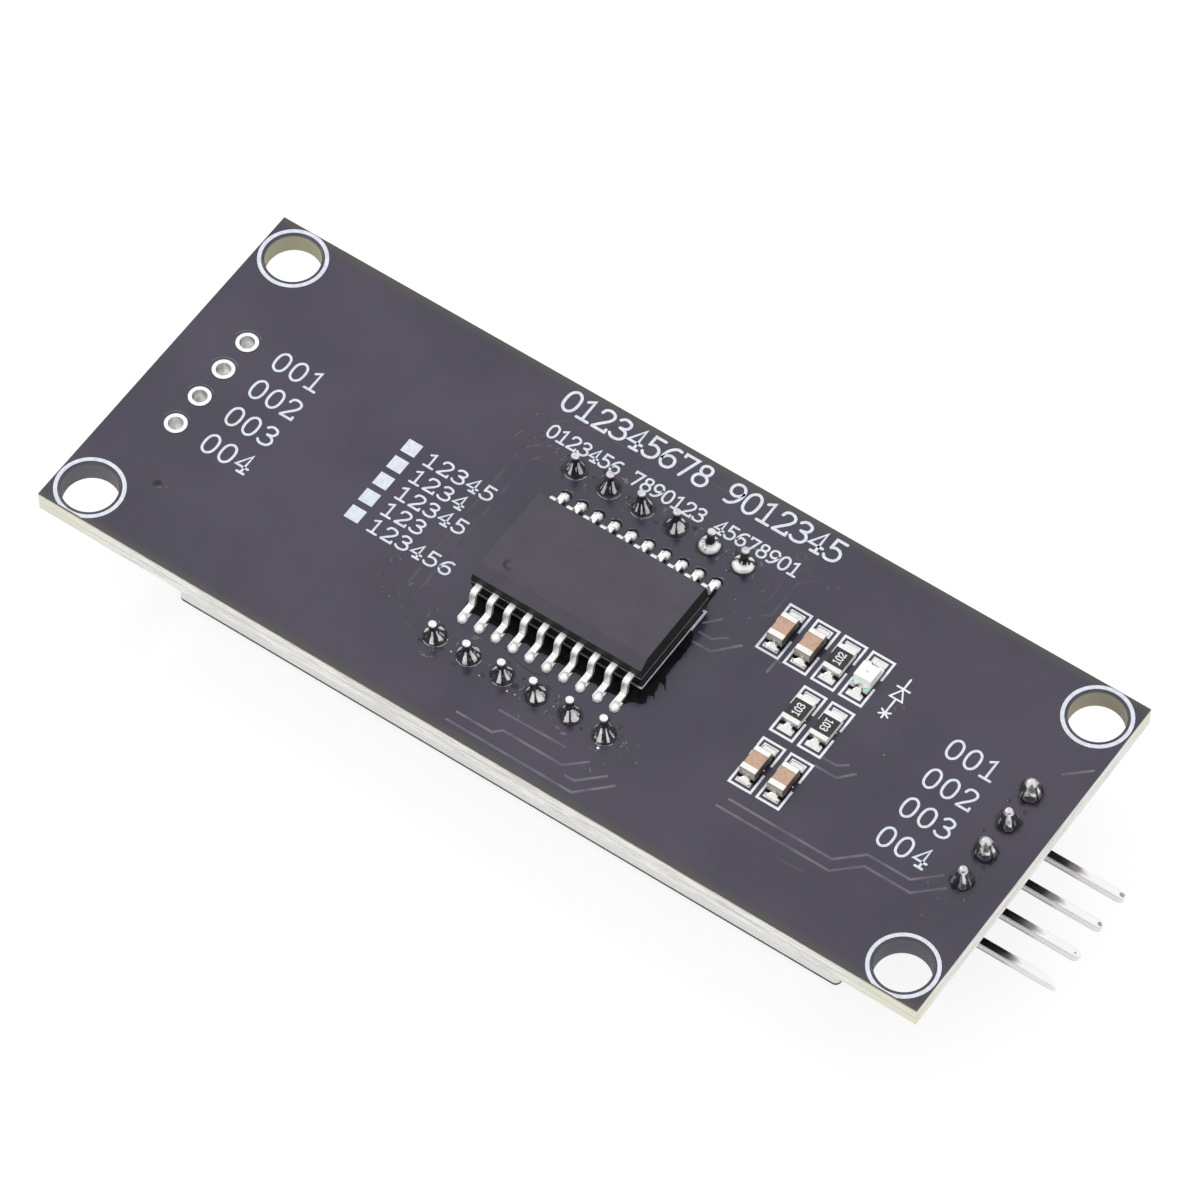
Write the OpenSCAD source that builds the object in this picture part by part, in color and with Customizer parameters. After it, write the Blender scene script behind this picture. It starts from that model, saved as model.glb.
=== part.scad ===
// Four-digit seven segment display module: a circuit board that carries the display on one side,
// and the driver chip, small parts and a right-angle header on the other.
// Millimetres. The display's front face lies on z = 0, the component side looks up,
// X runs along the board towards the header, and the origin is the centre of the display's face.

/* [Circuit board] */
// Board beyond each end of the display
board_end = 7.75; // [5.5:0.05:12]
// Board beyond each long side of the display
board_side = 3.6; // [3:0.05:8]
// Thickness of the board
board_t = 1.6; // [0.8:0.1:2.4]
// Diameter of the mounting holes
hole_d = 3.7; // [2.5:0.1:3.9]
// Mounting hole centre to the board's short edge
hole_inset_x = 2.4; // [2.3:0.05:3]
// Mounting hole centre to the board's long edge
hole_inset_y = 2.27; // [2.2:0.01:3]
// Sideways shift of the holes, connector rows and the line round the chip from the centre line
pattern_shift_y = -0.08; // [-0.2:0.01:0.2]

/* [Plating and print] */
// Thickness of the pads above the board
pad_t = 0.05; // [0.03:0.01:0.1]
// Wall of the plated barrels
plating_t = 0.06; // [0.04:0.01:0.12]
// Thickness of the white print
print_t = 0.03; // [0.02:0.01:0.06]
// Width of the part outlines
print_line = 0.16; // [0.1:0.01:0.25]
// Bare margin between the white print and the board's edges
print_margin = 0.06; // [0.04:0.01:0.2]
// Width of the white line round the chip
chip_print_line = 0.16; // [0.1:0.01:0.25]
// How far the line round the chip lies inside the body's long sides
chip_print_inset = 0.24; // [0.1:0.01:0.3]
// Bare land between a mounting hole and its white ring
ring_gap = 0.2; // [0.1:0.05:0.3]
// Width of the white ring round a mounting hole
ring_line = 0.26; // [0.15:0.01:0.3]
// Side of the square colour boxes
box_side = 1.05; // [0.8:0.05:1.3]
// Distance from one colour box to the next
box_pitch = 1.52; // [1.4:0.01:2]
// Colour boxes' centre line, left of the board's centre
box_column = 15.7; // [13:0.1:18]

/* [Connector rows] */
// Distance from pin to pin in the header and the display rows
pin_pitch = 2.54; // [2.3:0.01:2.8]
// Side of the square header pins
pin_side = 0.64; // [0.5:0.01:0.7]
// Play of a header pin's corners in its hole
row_hole_play = 0.095; // [0.03:0.005:0.25]
// Width of the pad round a header or spare hole
row_pad_ring = 0.25; // [0.2:0.01:0.4]
// Header row to the board's right edge
header_inset = 2.75; // [2.4:0.05:4]
// Spare hole row to the board's left edge
spare_inset = 3.9; // [3:0.05:6]
// Height of the header pins above the component side
header_tip_h = 1.4; // [1.2:0.05:2]
// Height of the header insulator
insulator_h = 2.54; // [2:0.02:2.8]
// Width of the header insulator
insulator_w = 2.5; // [2.3:0.05:3]
// Notch between two cells of the insulator
insulator_notch = 0.45; // [0.2:0.05:0.6]
// Inner radius of the pins' bend
pin_bend_r = 1.15; // [0.5:0.05:1.3]
// Length of the pins beyond the board's right edge
pin_reach = 4.4; // [3:0.1:8]
// Taper at the tips of the header pins
pin_tip_taper = 0.18; // [0.1:0.01:0.25]

/* [Display] */
// Height of the display
display_h = 8; // [7.4:0.1:10]
// Thickness of the dark front layer
face_t = 0.2; // [0.1:0.05:0.4]
// Corner radius of the display
display_corner_r = 0.4; // [0.2:0.1:1]
// Wall of the display case
case_wall = 0.9; // [0.7:0.05:1]
// Depth of the segment cavities
guide_depth = 5; // [4:0.1:5.4]
// Thickness of the carrier board inside the display
carrier_t = 1; // [0.6:0.1:1.2]
// Step from the case's rim down to the potting
potting_step = 0.3; // [0.15:0.05:0.5]
// Side of the light-emitting dies
die_side = 0.35; // [0.25:0.05:0.5]
// Height of the light-emitting dies
die_h = 0.25; // [0.15:0.05:0.4]
// Diameter of the display pins
display_pin_d = 0.5; // [0.4:0.01:0.55]
// Height of the display pins above the component side
display_tip_h = 1.7; // [1.5:0.05:2.4]
// Display pin rows to the display's long sides
display_row_inset = 1.88; // [1.5:0.01:3]
// Least distance from the chip's lands to the display pin rows
display_row_gap = 1.2; // [1:0.05:1.7]
// Play of a display pin in its hole
display_hole_play = 0.4; // [0.2:0.05:0.5]
// Width of the pad round a display pin's hole
display_pad_ring = 0.375; // [0.25:0.005:0.4]

/* [Digits] */
// Height of a digit
digit_h = 14.2; // [12:0.1:17]
// Width of a digit before its slant
digit_w = 7.4; // [6.8:0.1:8.2]
// Distance from digit to digit
digit_pitch = 12.7; // [10.4:0.05:16]
// Face left between the outer digits, before their slant, and the display's edges
digit_rim = 2.4; // [2.2:0.05:4]
// Width of a segment at the front
segment_w = 1.95; // [1.6:0.05:2.1]
// Width of a segment cavity at its bottom
segment_root_w = 1.1; // [0.8:0.05:1.5]
// Gap between neighbouring segments
segment_gap = 0.3; // [0.2:0.05:0.5]
// Cut at the outer corners of a digit
segment_corner = 0.7; // [0.5:0.05:1]
// Slant of the digits in degrees
slant = 10; // [0:1:12]
// Diameter of the colon dots at the front
dot_d = 1.7; // [1.4:0.1:2]
// Diameter of the colon cavities at their bottom
dot_root_d = 1.2; // [1:0.1:1.4]
// Distance between the colon dots
dot_spacing = 6.4; // [5:0.1:7.4]

/* [Driver chip] */
// Moulded body of the chip beyond the middle of its end leads
chip_end = 0.685; // [0.5:0.005:1.2]
// Width of the chip's moulded body
chip_w = 7.4; // [7:0.1:8]
// Height of the chip's moulded body
chip_h = 2.25; // [1.9:0.05:2.5]
// Air under the chip's body
chip_standoff = 0.15; // [0.1:0.01:0.3]
// How far the body's sides lean in above and below the parting line
chip_draft = 0.14; // [0.05:0.01:0.2]
// Run of the long chamfer on the pin-one side
chip_chamfer_run = 0.8; // [0.4:0.05:1]
// Drop of the long chamfer on the pin-one side
chip_chamfer_drop = 0.42; // [0.2:0.02:0.6]
// Diameter of the pin-one dimple
dimple_d = 0.85; // [0.5:0.05:1.2]
// Depth of the pin-one dimple
dimple_depth = 0.1; // [0.05:0.01:0.2]
// Dimple centre to the pin-one end and side of the body
dimple_inset = 1.75; // [1.5:0.05:2.2]
// Distance from lead to lead
lead_pitch = 1.27; // [1.2:0.01:1.35]
// Width of a lead
lead_w = 0.42; // [0.35:0.01:0.48]
// Thickness of a lead
lead_t = 0.25; // [0.18:0.01:0.3]
// How far the leads reach out of the body
lead_out = 1.6; // [1.3:0.05:1.6]
// Length of the leads inside the body
lead_root = 0.6; // [0.4:0.05:1]
// Flat of a lead's foot
lead_foot = 0.55; // [0.4:0.05:0.7]
// Inner radius of a lead's bends
lead_bend_r = 0.15; // [0.1:0.01:0.2]
// Lean of a lead's leg from upright in degrees
lead_lean = 8; // [0:1:12]
// Length of a chip land
chip_land_l = 1.8; // [1.7:0.05:2]
// Chip land on each side of a lead
chip_land_side = 0.1; // [0.06:0.01:0.14]
// How far a chip land runs past the lead's foot
chip_land_toe = 0.6; // [0.6:0.05:0.8]

/* [Small parts] */
// Distance from the board's centre to the first column of small parts
column_start = 11.2; // [10.8:0.05:13]
// Distance from column to column
column_pitch = 2.05; // [1.95:0.01:2.4]
// Middle row of small parts, from the board's centre line
row_start = 0.42; // [0:0.02:0.8]
// Distance from row to row
row_pitch = 4.54; // [4.2:0.02:4.8]
// Length of a small part's land
land_l = 1.065; // [0.95:0.005:1.2]
// Width of a small part's land
land_w = 1.06; // [0.95:0.01:1.2]
// Gap between the lands of a small part
land_gap = 1.15; // [1:0.05:1.3]
// Bare board between a land and the printed outline round it
outline_clearance = 0.18; // [0.08:0.01:0.22]
// Gap in the long sides of a printed outline
outline_gap = 0.75; // [0.4:0.05:1.2]
// Length of a capacitor
cap_l = 1.95; // [1.8:0.05:2.1]
// Width of a capacitor
cap_w = 1.22; // [1.1:0.02:1.3]
// Height of a capacitor
cap_h = 0.85; // [0.6:0.05:1.3]
// Length of a capacitor's metal ends
cap_end_l = 0.43; // [0.3:0.01:0.5]
// Thickness of a capacitor's metal ends
cap_end_t = 0.04; // [0.02:0.01:0.06]
// Rounding of a capacitor's edges
cap_round = 0.12; // [0.08:0.01:0.16]
// Shift of the capacitors along their lands
cap_shift = -0.16; // [-0.2:0.02:0.2]
// Length of a resistor
res_l = 2; // [1.85:0.05:2.15]
// Width of a resistor
res_w = 1.25; // [1.15:0.05:1.35]
// Height of a resistor's ceramic base
res_base_h = 0.42; // [0.35:0.01:0.5]
// Height of a resistor's dark cover above its base
res_cover_h = 0.06; // [0.04:0.01:0.08]
// Length of a resistor's metal ends
res_end_l = 0.33; // [0.25:0.01:0.4]
// Thickness of a resistor's metal ends
res_end_t = 0.05; // [0.03:0.01:0.07]
// Length of the status light
light_l = 2; // [1.85:0.05:2.15]
// Width of the status light
light_w = 1.25; // [1.15:0.05:1.35]
// Thickness of the status light's base
light_base_t = 0.3; // [0.25:0.05:0.4]
// Height of the status light's lens above its base
light_lens_h = 0.5; // [0.3:0.05:0.7]
// Length of the status light's lens at its base
light_lens_l = 1.4; // [1.2:0.05:1.5]
// How far the lens ends lean in
light_lens_draft = 0.12; // [0.05:0.01:0.2]
// Radius of the notches in the status light's ends
light_notch_r = 0.3; // [0.2:0.01:0.35]
// Thickness of the status light's metal ends
light_end_t = 0.04; // [0.03:0.01:0.06]

/* [Solder] */
// Height of a solder cone on a display or header pin
cone_h = 1.15; // [0.8:0.05:1.4]
// Solder left round a pin at the top of its cone
cone_tip_wall = 0.08; // [0.05:0.01:0.12]
// Bare rim of a pad outside its solder cone
cone_rim = 0.04; // [0.02:0.01:0.1]
// Height of the solder up a chip lead's foot
lead_solder_h = 0.2; // [0.1:0.01:0.3]
// Share of a small part's height that its solder climbs
fillet_climb = 0.7; // [0.4:0.05:0.9]
// Bare rim of a land outside its solder
land_rim = 0.03; // [0.02:0.01:0.06]

/* [Hidden] */
DIGITS = 4;
ROW_PINS = 4;
DISPLAY_ROW_PINS = 6;
CHIP_SIDE_LEADS = 10;
SEGMENTS = 7;
COLOUR_BOXES = 5;
// Column and row of each small part on the board's grid
CAPACITORS = [[0, 1], [1, 1], [2, -1], [3, -1]];
RESISTORS = [[2, 1], [2, 0], [3, 0]];
STATUS_LIGHT = [3, 1];
SMALL_PARTS = concat(CAPACITORS, RESISTORS, [STATUS_LIGHT]);

// Cuts run this far past the faces that they open
cut = 0.5;
// Steps in a full turn of the large and the small round shapes
round_steps = 64;
small_steps = 32;

board_z = display_h;
top_z = board_z + board_t;

lead_end = chip_w / 2 + lead_out;
chip_land_end = lead_end + chip_land_toe;

// The face holds the digits, and its pin rows, 15.24 mm apart as built, stand clear of the chip's lands
display_l = (DIGITS - 1) * digit_pitch + digit_w + 2 * digit_rim;
display_w = max(digit_h + 2 * digit_rim, 2 * (chip_land_end + display_row_gap + display_row_inset));
display_row_y = display_w / 2 - display_row_inset;
board_l = display_l + 2 * board_end;
board_w = display_w + 2 * board_side;

hole_x = board_l / 2 - hole_inset_x;
hole_y = board_w / 2 - hole_inset_y;
header_x = board_l / 2 - header_inset;
row_hole_d = pin_side * sqrt(2) + row_hole_play;
row_pad_d = row_hole_d + 2 * row_pad_ring;
display_hole_d = display_pin_d + display_hole_play;
display_pad_d = display_hole_d + 2 * display_pad_ring;
spare_x = spare_inset - board_l / 2;
row_y = [for (i = [0:ROW_PINS - 1]) pattern_shift_y + ((ROW_PINS - 1) / 2 - i) * pin_pitch];
display_pin_x = [for (i = [0:DISPLAY_ROW_PINS - 1]) (i - (DISPLAY_ROW_PINS - 1) / 2) * pin_pitch];

carrier_z = face_t + guide_depth;
potting_z = carrier_z + carrier_t;
recess_l = display_l - 2 * case_wall;
recess_w = display_w - 2 * case_wall;
recess_corner_r = display_corner_r;

chip_l = (CHIP_SIDE_LEADS - 1) * lead_pitch + 2 * chip_end;
chip_z = top_z + chip_standoff;
parting_z = chip_z + chip_h / 2;
foot_z = top_z + pad_t;
lead_x = [for (i = [0:CHIP_SIDE_LEADS - 1]) (i - (CHIP_SIDE_LEADS - 1) / 2) * lead_pitch];
chip_land_w = lead_w + 2 * chip_land_side;

part_z = top_z + pad_t;
land_span = land_gap + 2 * land_l;
outline_l = land_span + 2 * (outline_clearance + print_line);
outline_w = land_w + 2 * (outline_clearance + print_line);

// Place of a small part from its column and row on the board
function part_place(spot) = [column_start + spot[0] * column_pitch, row_start + spot[1] * row_pitch];

// Rectangle with round corners, centred
module round_rect(l, w, r) {
    square([l - 2 * r, w], center = true);
    square([l, w - 2 * r], center = true);
    for (sx = [-1, 1], sy = [-1, 1])
        translate([sx * (l / 2 - r), sy * (w / 2 - r)]) circle(r = r, $fn = small_steps);
}

// Block with every edge rounded, standing on z = 0
module soft_block(l, w, h, r) {
    intersection() {
        linear_extrude(h) round_rect(l, w, r);
        translate([0, w / 2, h / 2]) rotate([90, 0, 0]) linear_extrude(w) round_rect(l, h, r);
        translate([-l / 2, 0, h / 2]) rotate([90, 0, 90]) linear_extrude(l) round_rect(w, h, r);
    }
}

// Sector of a bent strip in its own plane, centred on the bend's axis
module strip_bend(inner_r, thick, from, to) {
    reach = 2 * (inner_r + thick);
    intersection() {
        difference() {
            circle(r = inner_r + thick, $fn = round_steps);
            circle(r = inner_r, $fn = round_steps);
        }
        polygon([[0, 0], for (a = [from, (from + to) / 2, to]) reach * [cos(a), sin(a)]]);
    }
}

// Outline drawn upright in the Y-Z plane and made a slab along X
module slab_along_x(width) {
    translate([-width / 2, 0, 0]) rotate([90, 0, 90]) linear_extrude(width) children();
}

module at_mounting_holes() {
    for (sx = [-1, 1], sy = [-1, 1]) translate([sx * hole_x, pattern_shift_y + sy * hole_y, 0]) children();
}

module at_row(x) {
    for (y = row_y) translate([x, y, 0]) children();
}

module at_display_pins(sides = [-1, 1]) {
    for (side = sides, x = display_pin_x) translate([x, side * display_row_y, 0]) children();
}

// Both sides of the chip, or one, with the lead's outward way along +Y
module at_chip_leads(sides = [0, 1]) {
    for (side = sides) rotate([0, 0, 180 * side]) for (x = lead_x) translate([x, 0, 0]) children();
}

module at_small_parts(spots) {
    for (spot = spots) translate(concat(part_place(spot), part_z)) children();
}

// Circuit board

module board_drill(d) {
    translate([0, 0, board_z - cut]) cylinder(d = d, h = board_t + 2 * cut, $fn = round_steps);
}

module circuit_board() {
    color([0.2, 0.19, 0.22]) difference() {
        translate([-board_l / 2, -board_w / 2, board_z]) cube([board_l, board_w, board_t]);
        at_mounting_holes() board_drill(hole_d);
        at_row(header_x) board_drill(row_hole_d + 2 * plating_t);
        at_row(spare_x) board_drill(row_hole_d + 2 * plating_t);
        at_display_pins() board_drill(display_hole_d + 2 * plating_t);
    }
}

// Plated barrel with a pad on each side of the board
module plated_hole(d, pad_d) {
    pad = [(pad_d - d) / 2, pad_t];
    rotate_extrude($fn = round_steps) {
        translate([d / 2, board_z - pad_t]) square([plating_t, board_t + 2 * pad_t]);
        translate([d / 2, board_z - pad_t]) square(pad);
        translate([d / 2, top_z]) square(pad);
    }
}

module spare_hole_pads() {
    color("silver") at_row(spare_x) plated_hole(row_hole_d, row_pad_d);
}

module header_hole_pads() {
    color("silver") at_row(header_x) plated_hole(row_hole_d, row_pad_d);
}

module display_hole_pads() {
    color("silver") at_display_pins() plated_hole(display_hole_d, display_pad_d);
}

// Long hole shape with round ends, centred, its length along Y
module obround(w, l) {
    square([w, l - w], center = true);
    for (side = [-1, 1]) translate([0, side * (l - w) / 2]) circle(d = w, $fn = small_steps);
}

module chip_land_outline(inset = 0) {
    translate([0, chip_land_end - chip_land_l / 2])
        obround(chip_land_w - 2 * inset, chip_land_l - 2 * inset);
}

module chip_lands() {
    color("silver") at_chip_leads() translate([0, 0, top_z]) linear_extrude(pad_t) chip_land_outline();
}

module small_part_lands() {
    color("silver") at_small_parts(SMALL_PARTS) for (turn = [0, 180]) rotate([0, 0, turn])
        translate([-land_w / 2, land_gap / 2, -pad_t]) cube([land_w, land_l, pad_t]);
}

// White print

module hole_ring() {
    inner_d = hole_d + 2 * ring_gap;
    difference() {
        circle(d = inner_d + 2 * ring_line, $fn = round_steps);
        circle(d = inner_d, $fn = round_steps);
    }
}

// Two brackets that face each other round a small part
module part_outline() {
    difference() {
        square([outline_w, outline_l], center = true);
        square([outline_w - 2 * print_line, outline_l - 2 * print_line], center = true);
        square([outline_w + cut, outline_gap], center = true);
    }
}

module chip_outline() {
    w = chip_w - 2 * chip_print_inset;
    translate([0, pattern_shift_y]) difference() {
        square([chip_l + chip_print_line, w + chip_print_line], center = true);
        square([chip_l - chip_print_line, w - chip_print_line], center = true);
    }
}

module white_print() {
    color("white") translate([0, 0, top_z]) linear_extrude(print_t) {
        intersection() {
            at_mounting_holes() hole_ring();
            square([board_l - 2 * print_margin, board_w - 2 * print_margin], center = true);
        }
        for (spot = SMALL_PARTS) translate(part_place(spot)) part_outline();
        chip_outline();
        for (i = [0:COLOUR_BOXES - 1])
            translate([-box_column, (i - (COLOUR_BOXES - 1) / 2) * box_pitch])
                square(box_side, center = true);
    }
}

// Driver chip

// Section of the body across its width, with the pin-one chamfer on the -Y side
module chip_cross_section() {
    w = chip_w / 2;
    band = lead_t / 4;
    top = chip_h / 2;
    lean = chip_draft * (top - chip_chamfer_drop) / top;
    polygon([
        [w, -band], [w, band], [w - chip_draft, top],
        [-w + lean + chip_chamfer_run, top], [-w + lean, top - chip_chamfer_drop],
        [-w, band], [-w, -band], [-w + chip_draft, -top], [w - chip_draft, -top]
    ]);
}

module chip_long_section() {
    l = chip_l / 2;
    band = lead_t / 4;
    top = chip_h / 2;
    polygon([
        [l, -band], [l, band], [l - chip_draft, top], [-l + chip_draft, top],
        [-l, band], [-l, -band], [-l + chip_draft, -top], [l - chip_draft, -top]
    ]);
}

module chip_dimple() {
    ball_r = (dimple_d * dimple_d / 4 + dimple_depth * dimple_depth) / (2 * dimple_depth);
    translate([
        dimple_inset - chip_l / 2, dimple_inset - chip_w / 2, chip_z + chip_h + ball_r - dimple_depth
    ]) sphere(r = ball_r, $fn = 2 * round_steps);
}

module chip_body() {
    color([0.13, 0.12, 0.13]) difference() {
        translate([0, 0, parting_z]) intersection() {
            slab_along_x(chip_l) chip_cross_section();
            translate([0, chip_w / 2, 0]) rotate([90, 0, 0]) linear_extrude(chip_w) chip_long_section();
        }
        chip_dimple();
        at_chip_leads() translate([-lead_w / 2, chip_w / 2 - lead_root, parting_z - lead_t / 2])
            cube([lead_w, lead_root + cut, lead_t]);
    }
}

// Points along an arc, for outlines that bend
function arc(middle, r, from, to, steps = 5) =
    [for (i = [0:steps]) let(a = from + (to - from) * i / steps) middle + r * [cos(a), sin(a)]];

// Gull-wing lead from the side, with the body's middle on y = 0 and the component side on z = 0
module lead_profile() {
    bend_r = lead_bend_r + lead_t / 2;
    root_z = parting_z - top_z;
    sole_z = foot_z - top_z + lead_t / 2;
    turn_drop = bend_r * (1 - sin(lead_lean));
    leg = (root_z - sole_z - 2 * turn_drop) / cos(lead_lean);
    heel = [lead_end - lead_foot, sole_z + bend_r];
    knee = [heel[0] - 2 * bend_r * cos(lead_lean) - leg * sin(lead_lean), root_z - bend_r];
    root_y = chip_w / 2 - lead_root;
    inner_r = lead_bend_r;
    outer_r = lead_bend_r + lead_t;
    polygon(concat(
        [[root_y, root_z + lead_t / 2]],
        arc(knee, outer_r, 90, lead_lean),
        arc(heel, inner_r, 180 + lead_lean, 270),
        [[lead_end, sole_z + lead_t / 2], [lead_end, sole_z - lead_t / 2]],
        arc(heel, outer_r, 270, 180 + lead_lean),
        arc(knee, inner_r, lead_lean, 90),
        [[root_y, root_z - lead_t / 2]]
    ));
}

module lead_bar(width) {
    translate([0, 0, top_z]) slab_along_x(width) lead_profile();
}

module chip_leads_near() {
    color("silver") at_chip_leads([1]) lead_bar(lead_w);
}

module chip_leads_far() {
    color("silver") at_chip_leads([0]) lead_bar(lead_w);
}

// Solder that wraps a foot: a rising heel, a level middle and a hollow toe
module foot_solder_profile() {
    start = chip_land_end - chip_land_l + land_rim;
    end = chip_land_end - land_rim;
    toe = end - lead_end;
    translate([start, pad_t]) square([lead_end - start, lead_solder_h]);
    translate([lead_end, pad_t]) fillet(toe, lead_solder_h);
}

// Hollow fillet against a wall at x = 0: it thins out along its longer leg
module fillet(run, rise) {
    r = (run * run + rise * rise) / (2 * min(run, rise));
    difference() {
        square([run, rise]);
        translate(run > rise ? [run, r] : [r, rise]) circle(r = r, $fn = 2 * round_steps);
    }
}

module chip_solder() {
    color("gainsboro") at_chip_leads() difference() {
        intersection() {
            translate([0, 0, top_z]) slab_along_x(chip_land_w) foot_solder_profile();
            translate([0, 0, top_z]) linear_extrude(chip_h) chip_land_outline(land_rim);
        }
        lead_bar(lead_w);
    }
}

// Small parts, each standing on its lands with its long side along Y

module capacitor_shell() {
    rotate([0, 0, 90]) soft_block(cap_l, cap_w, cap_h, cap_round);
}

module capacitor_block() {
    both = 2 * cap_end_t;
    color([0.72, 0.52, 0.4]) translate([0, cap_shift, cap_end_t]) rotate([0, 0, 90])
        soft_block(cap_l - both, cap_w - both, cap_h - both, cap_round - cap_end_t);
}

module capacitor_ends() {
    middle = cap_l - 2 * cap_end_l;
    color("silver") difference() {
        translate([0, cap_shift, 0]) capacitor_shell();
        capacitor_block();
        translate([-cap_w / 2 - cut, cap_shift - middle / 2, -cut])
            cube([cap_w + 2 * cut, middle, cap_h + 2 * cut]);
    }
}

module resistor_base() {
    color("white") translate([-res_w / 2, res_end_t - res_l / 2, res_end_t])
        cube([res_w, res_l - 2 * res_end_t, res_base_h]);
}

module resistor_cover() {
    l = res_l - 2 * res_end_l;
    color([0.15, 0.15, 0.15]) translate([0, 0, res_end_t + res_base_h])
        linear_extrude(res_cover_h) round_rect(res_w, l, res_cover_h);
}

module resistor_ends() {
    h = res_base_h + 2 * res_end_t;
    color("silver") difference() {
        translate([-res_w / 2, -res_l / 2, 0]) cube([res_w, res_l, h]);
        translate([-res_w / 2 - cut, res_end_t - res_l / 2, res_end_t])
            cube([res_w + 2 * cut, res_l - 2 * res_end_t, res_base_h]);
        translate([-res_w / 2 - cut, res_end_l - res_l / 2, -cut])
            cube([res_w + 2 * cut, res_l - 2 * res_end_l, h + 2 * cut]);
    }
}

// Both half-round notches in the ends of the status light
module light_notches(r) {
    for (side = [-1, 1]) translate([0, side * light_l / 2, -cut])
        cylinder(r = r, h = light_base_t + 2 * cut, $fn = small_steps);
}

module status_light_base() {
    color("white") difference() {
        translate([-light_w / 2, -light_l / 2, light_end_t]) cube([light_w, light_l, light_base_t]);
        light_notches(light_notch_r + light_end_t);
    }
}

module status_light_die() {
    color("gold") translate([-die_side / 2, -die_side / 2, light_end_t + light_base_t])
        cube([die_side, die_side, die_h / 2]);
}

module status_light_lens() {
    foot = light_lens_l / 2;
    crown = foot - light_lens_draft;
    color([0.93, 0.95, 0.93]) difference() {
        translate([0, 0, light_end_t + light_base_t]) slab_along_x(light_w)
            polygon([[-foot, 0], [foot, 0], [crown, light_lens_h], [-crown, light_lens_h]]);
        status_light_die();
    }
}

// Metal that wraps under the base and lines its notches
module status_light_ends() {
    color("silver") {
        difference() {
            translate([-light_w / 2, -light_l / 2, 0]) cube([light_w, light_l, light_end_t]);
            translate([-light_w / 2 - cut, -land_gap / 2, -cut])
                cube([light_w + 2 * cut, land_gap, 2 * cut]);
            light_notches(light_notch_r);
        }
        intersection() {
            difference() {
                translate([0, 0, light_end_t]) for (side = [-1, 1]) translate([0, side * light_l / 2, 0])
                    cylinder(r = light_notch_r + light_end_t, h = light_base_t, $fn = small_steps);
                light_notches(light_notch_r);
            }
            translate([-light_w / 2, -light_l / 2, 0]) cube([light_w, light_l, light_base_t + light_end_t]);
        }
    }
}

// Solder at both ends of a small part, of the part's own length, height and shift on its lands
module part_solder(part_l, part_h, width, shift = 0) {
    for (side = [-1, 1]) {
        end_y = part_l / 2 + side * shift;
        mirror([0, (1 - side) / 2, 0]) translate([0, end_y, 0]) slab_along_x(width)
            fillet(land_span / 2 - land_rim - end_y, fillet_climb * part_h);
    }
}

module small_part_solder() {
    width = land_w - 2 * land_rim;
    color("gainsboro") {
        at_small_parts(CAPACITORS) part_solder(cap_l, cap_h, width, cap_shift);
        at_small_parts(RESISTORS) part_solder(res_l, res_base_h, width);
        at_small_parts([STATUS_LIGHT]) difference() {
            part_solder(light_l, light_base_t, width);
            status_light_base();
        }
    }
}

// Header

module insulator_outline() {
    half = pin_pitch / 2;
    w = insulator_w / 2;
    for (y = row_y) translate([0, y]) polygon([
        [-w, half - insulator_notch], [-w + insulator_notch, half],
        [w - insulator_notch, half], [w, half - insulator_notch],
        [w, insulator_notch - half], [w - insulator_notch, -half],
        [-w + insulator_notch, -half], [-w, insulator_notch - half]
    ]);
}

module header_insulator() {
    color([0.1, 0.1, 0.1]) translate([header_x, 0, board_z - pad_t - insulator_h])
        linear_extrude(insulator_h) difference() {
            insulator_outline();
            for (y = row_y) translate([0, y]) square(pin_side, center = true);
        }
}

// Pin from the side in the X-Z plane: an upright leg, a bend and a level run, with tapered tips
module pin_profile() {
    bend_z = board_z - pad_t - insulator_h;
    top = top_z + header_tip_h;
    side = pin_side / 2;
    tip = side - pin_tip_taper;
    bend_x = side + pin_bend_r;
    run = header_inset + pin_reach - bend_x;
    polygon([
        [-side, bend_z], [side, bend_z], [side, top - pin_tip_taper], [tip, top], [-tip, top],
        [-side, top - pin_tip_taper]
    ]);
    translate([bend_x, bend_z]) strip_bend(pin_bend_r, pin_side, 180, 270);
    translate([bend_x, bend_z - pin_bend_r - side]) polygon([
        [0, side], [0, -side], [run - pin_tip_taper, -side],
        [run, -tip], [run, tip], [run - pin_tip_taper, side]
    ]);
}

// Outline of a bar of the pin's width whose far end tapers
module tapered_bar(length) {
    side = pin_side / 2;
    tip = side - pin_tip_taper;
    polygon([
        [0, side], [length - pin_tip_taper, side], [length, tip],
        [length, -tip], [length - pin_tip_taper, -side], [0, -side]
    ]);
}

// The side view, trimmed from the front and from above so that both tips taper on all four sides
module header_pin(i) {
    low_z = board_z - pad_t - insulator_h - pin_bend_r - pin_side;
    rise = top_z + header_tip_h - low_z;
    reach = header_inset + pin_reach;
    color("silver") translate([header_x, row_y[i - 1], low_z]) intersection() {
        translate([0, pin_side / 2, -low_z]) rotate([90, 0, 0]) linear_extrude(pin_side) pin_profile();
        translate([reach, 0, 0]) rotate([0, -90, 0]) linear_extrude(reach + pin_side) tapered_bar(rise);
        translate([-pin_side / 2, 0, -cut]) linear_extrude(rise + 2 * cut) tapered_bar(reach + pin_side / 2);
    }
}

// Hollow cone of solder on a pin, with its stem down through the plated hole
module solder_cone(barrel_d, pad_d, pin_r) {
    base_r = pad_d / 2 - cone_rim;
    tip_r = pin_r + cone_tip_wall;
    rotate_extrude($fn = round_steps) {
        translate([0, board_z - pad_t]) square([barrel_d / 2, board_t + 2 * pad_t]);
        translate([0, top_z + pad_t]) square([tip_r, cone_h]);
        translate([tip_r, top_z + pad_t]) fillet(base_r - tip_r, cone_h);
    }
}

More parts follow.
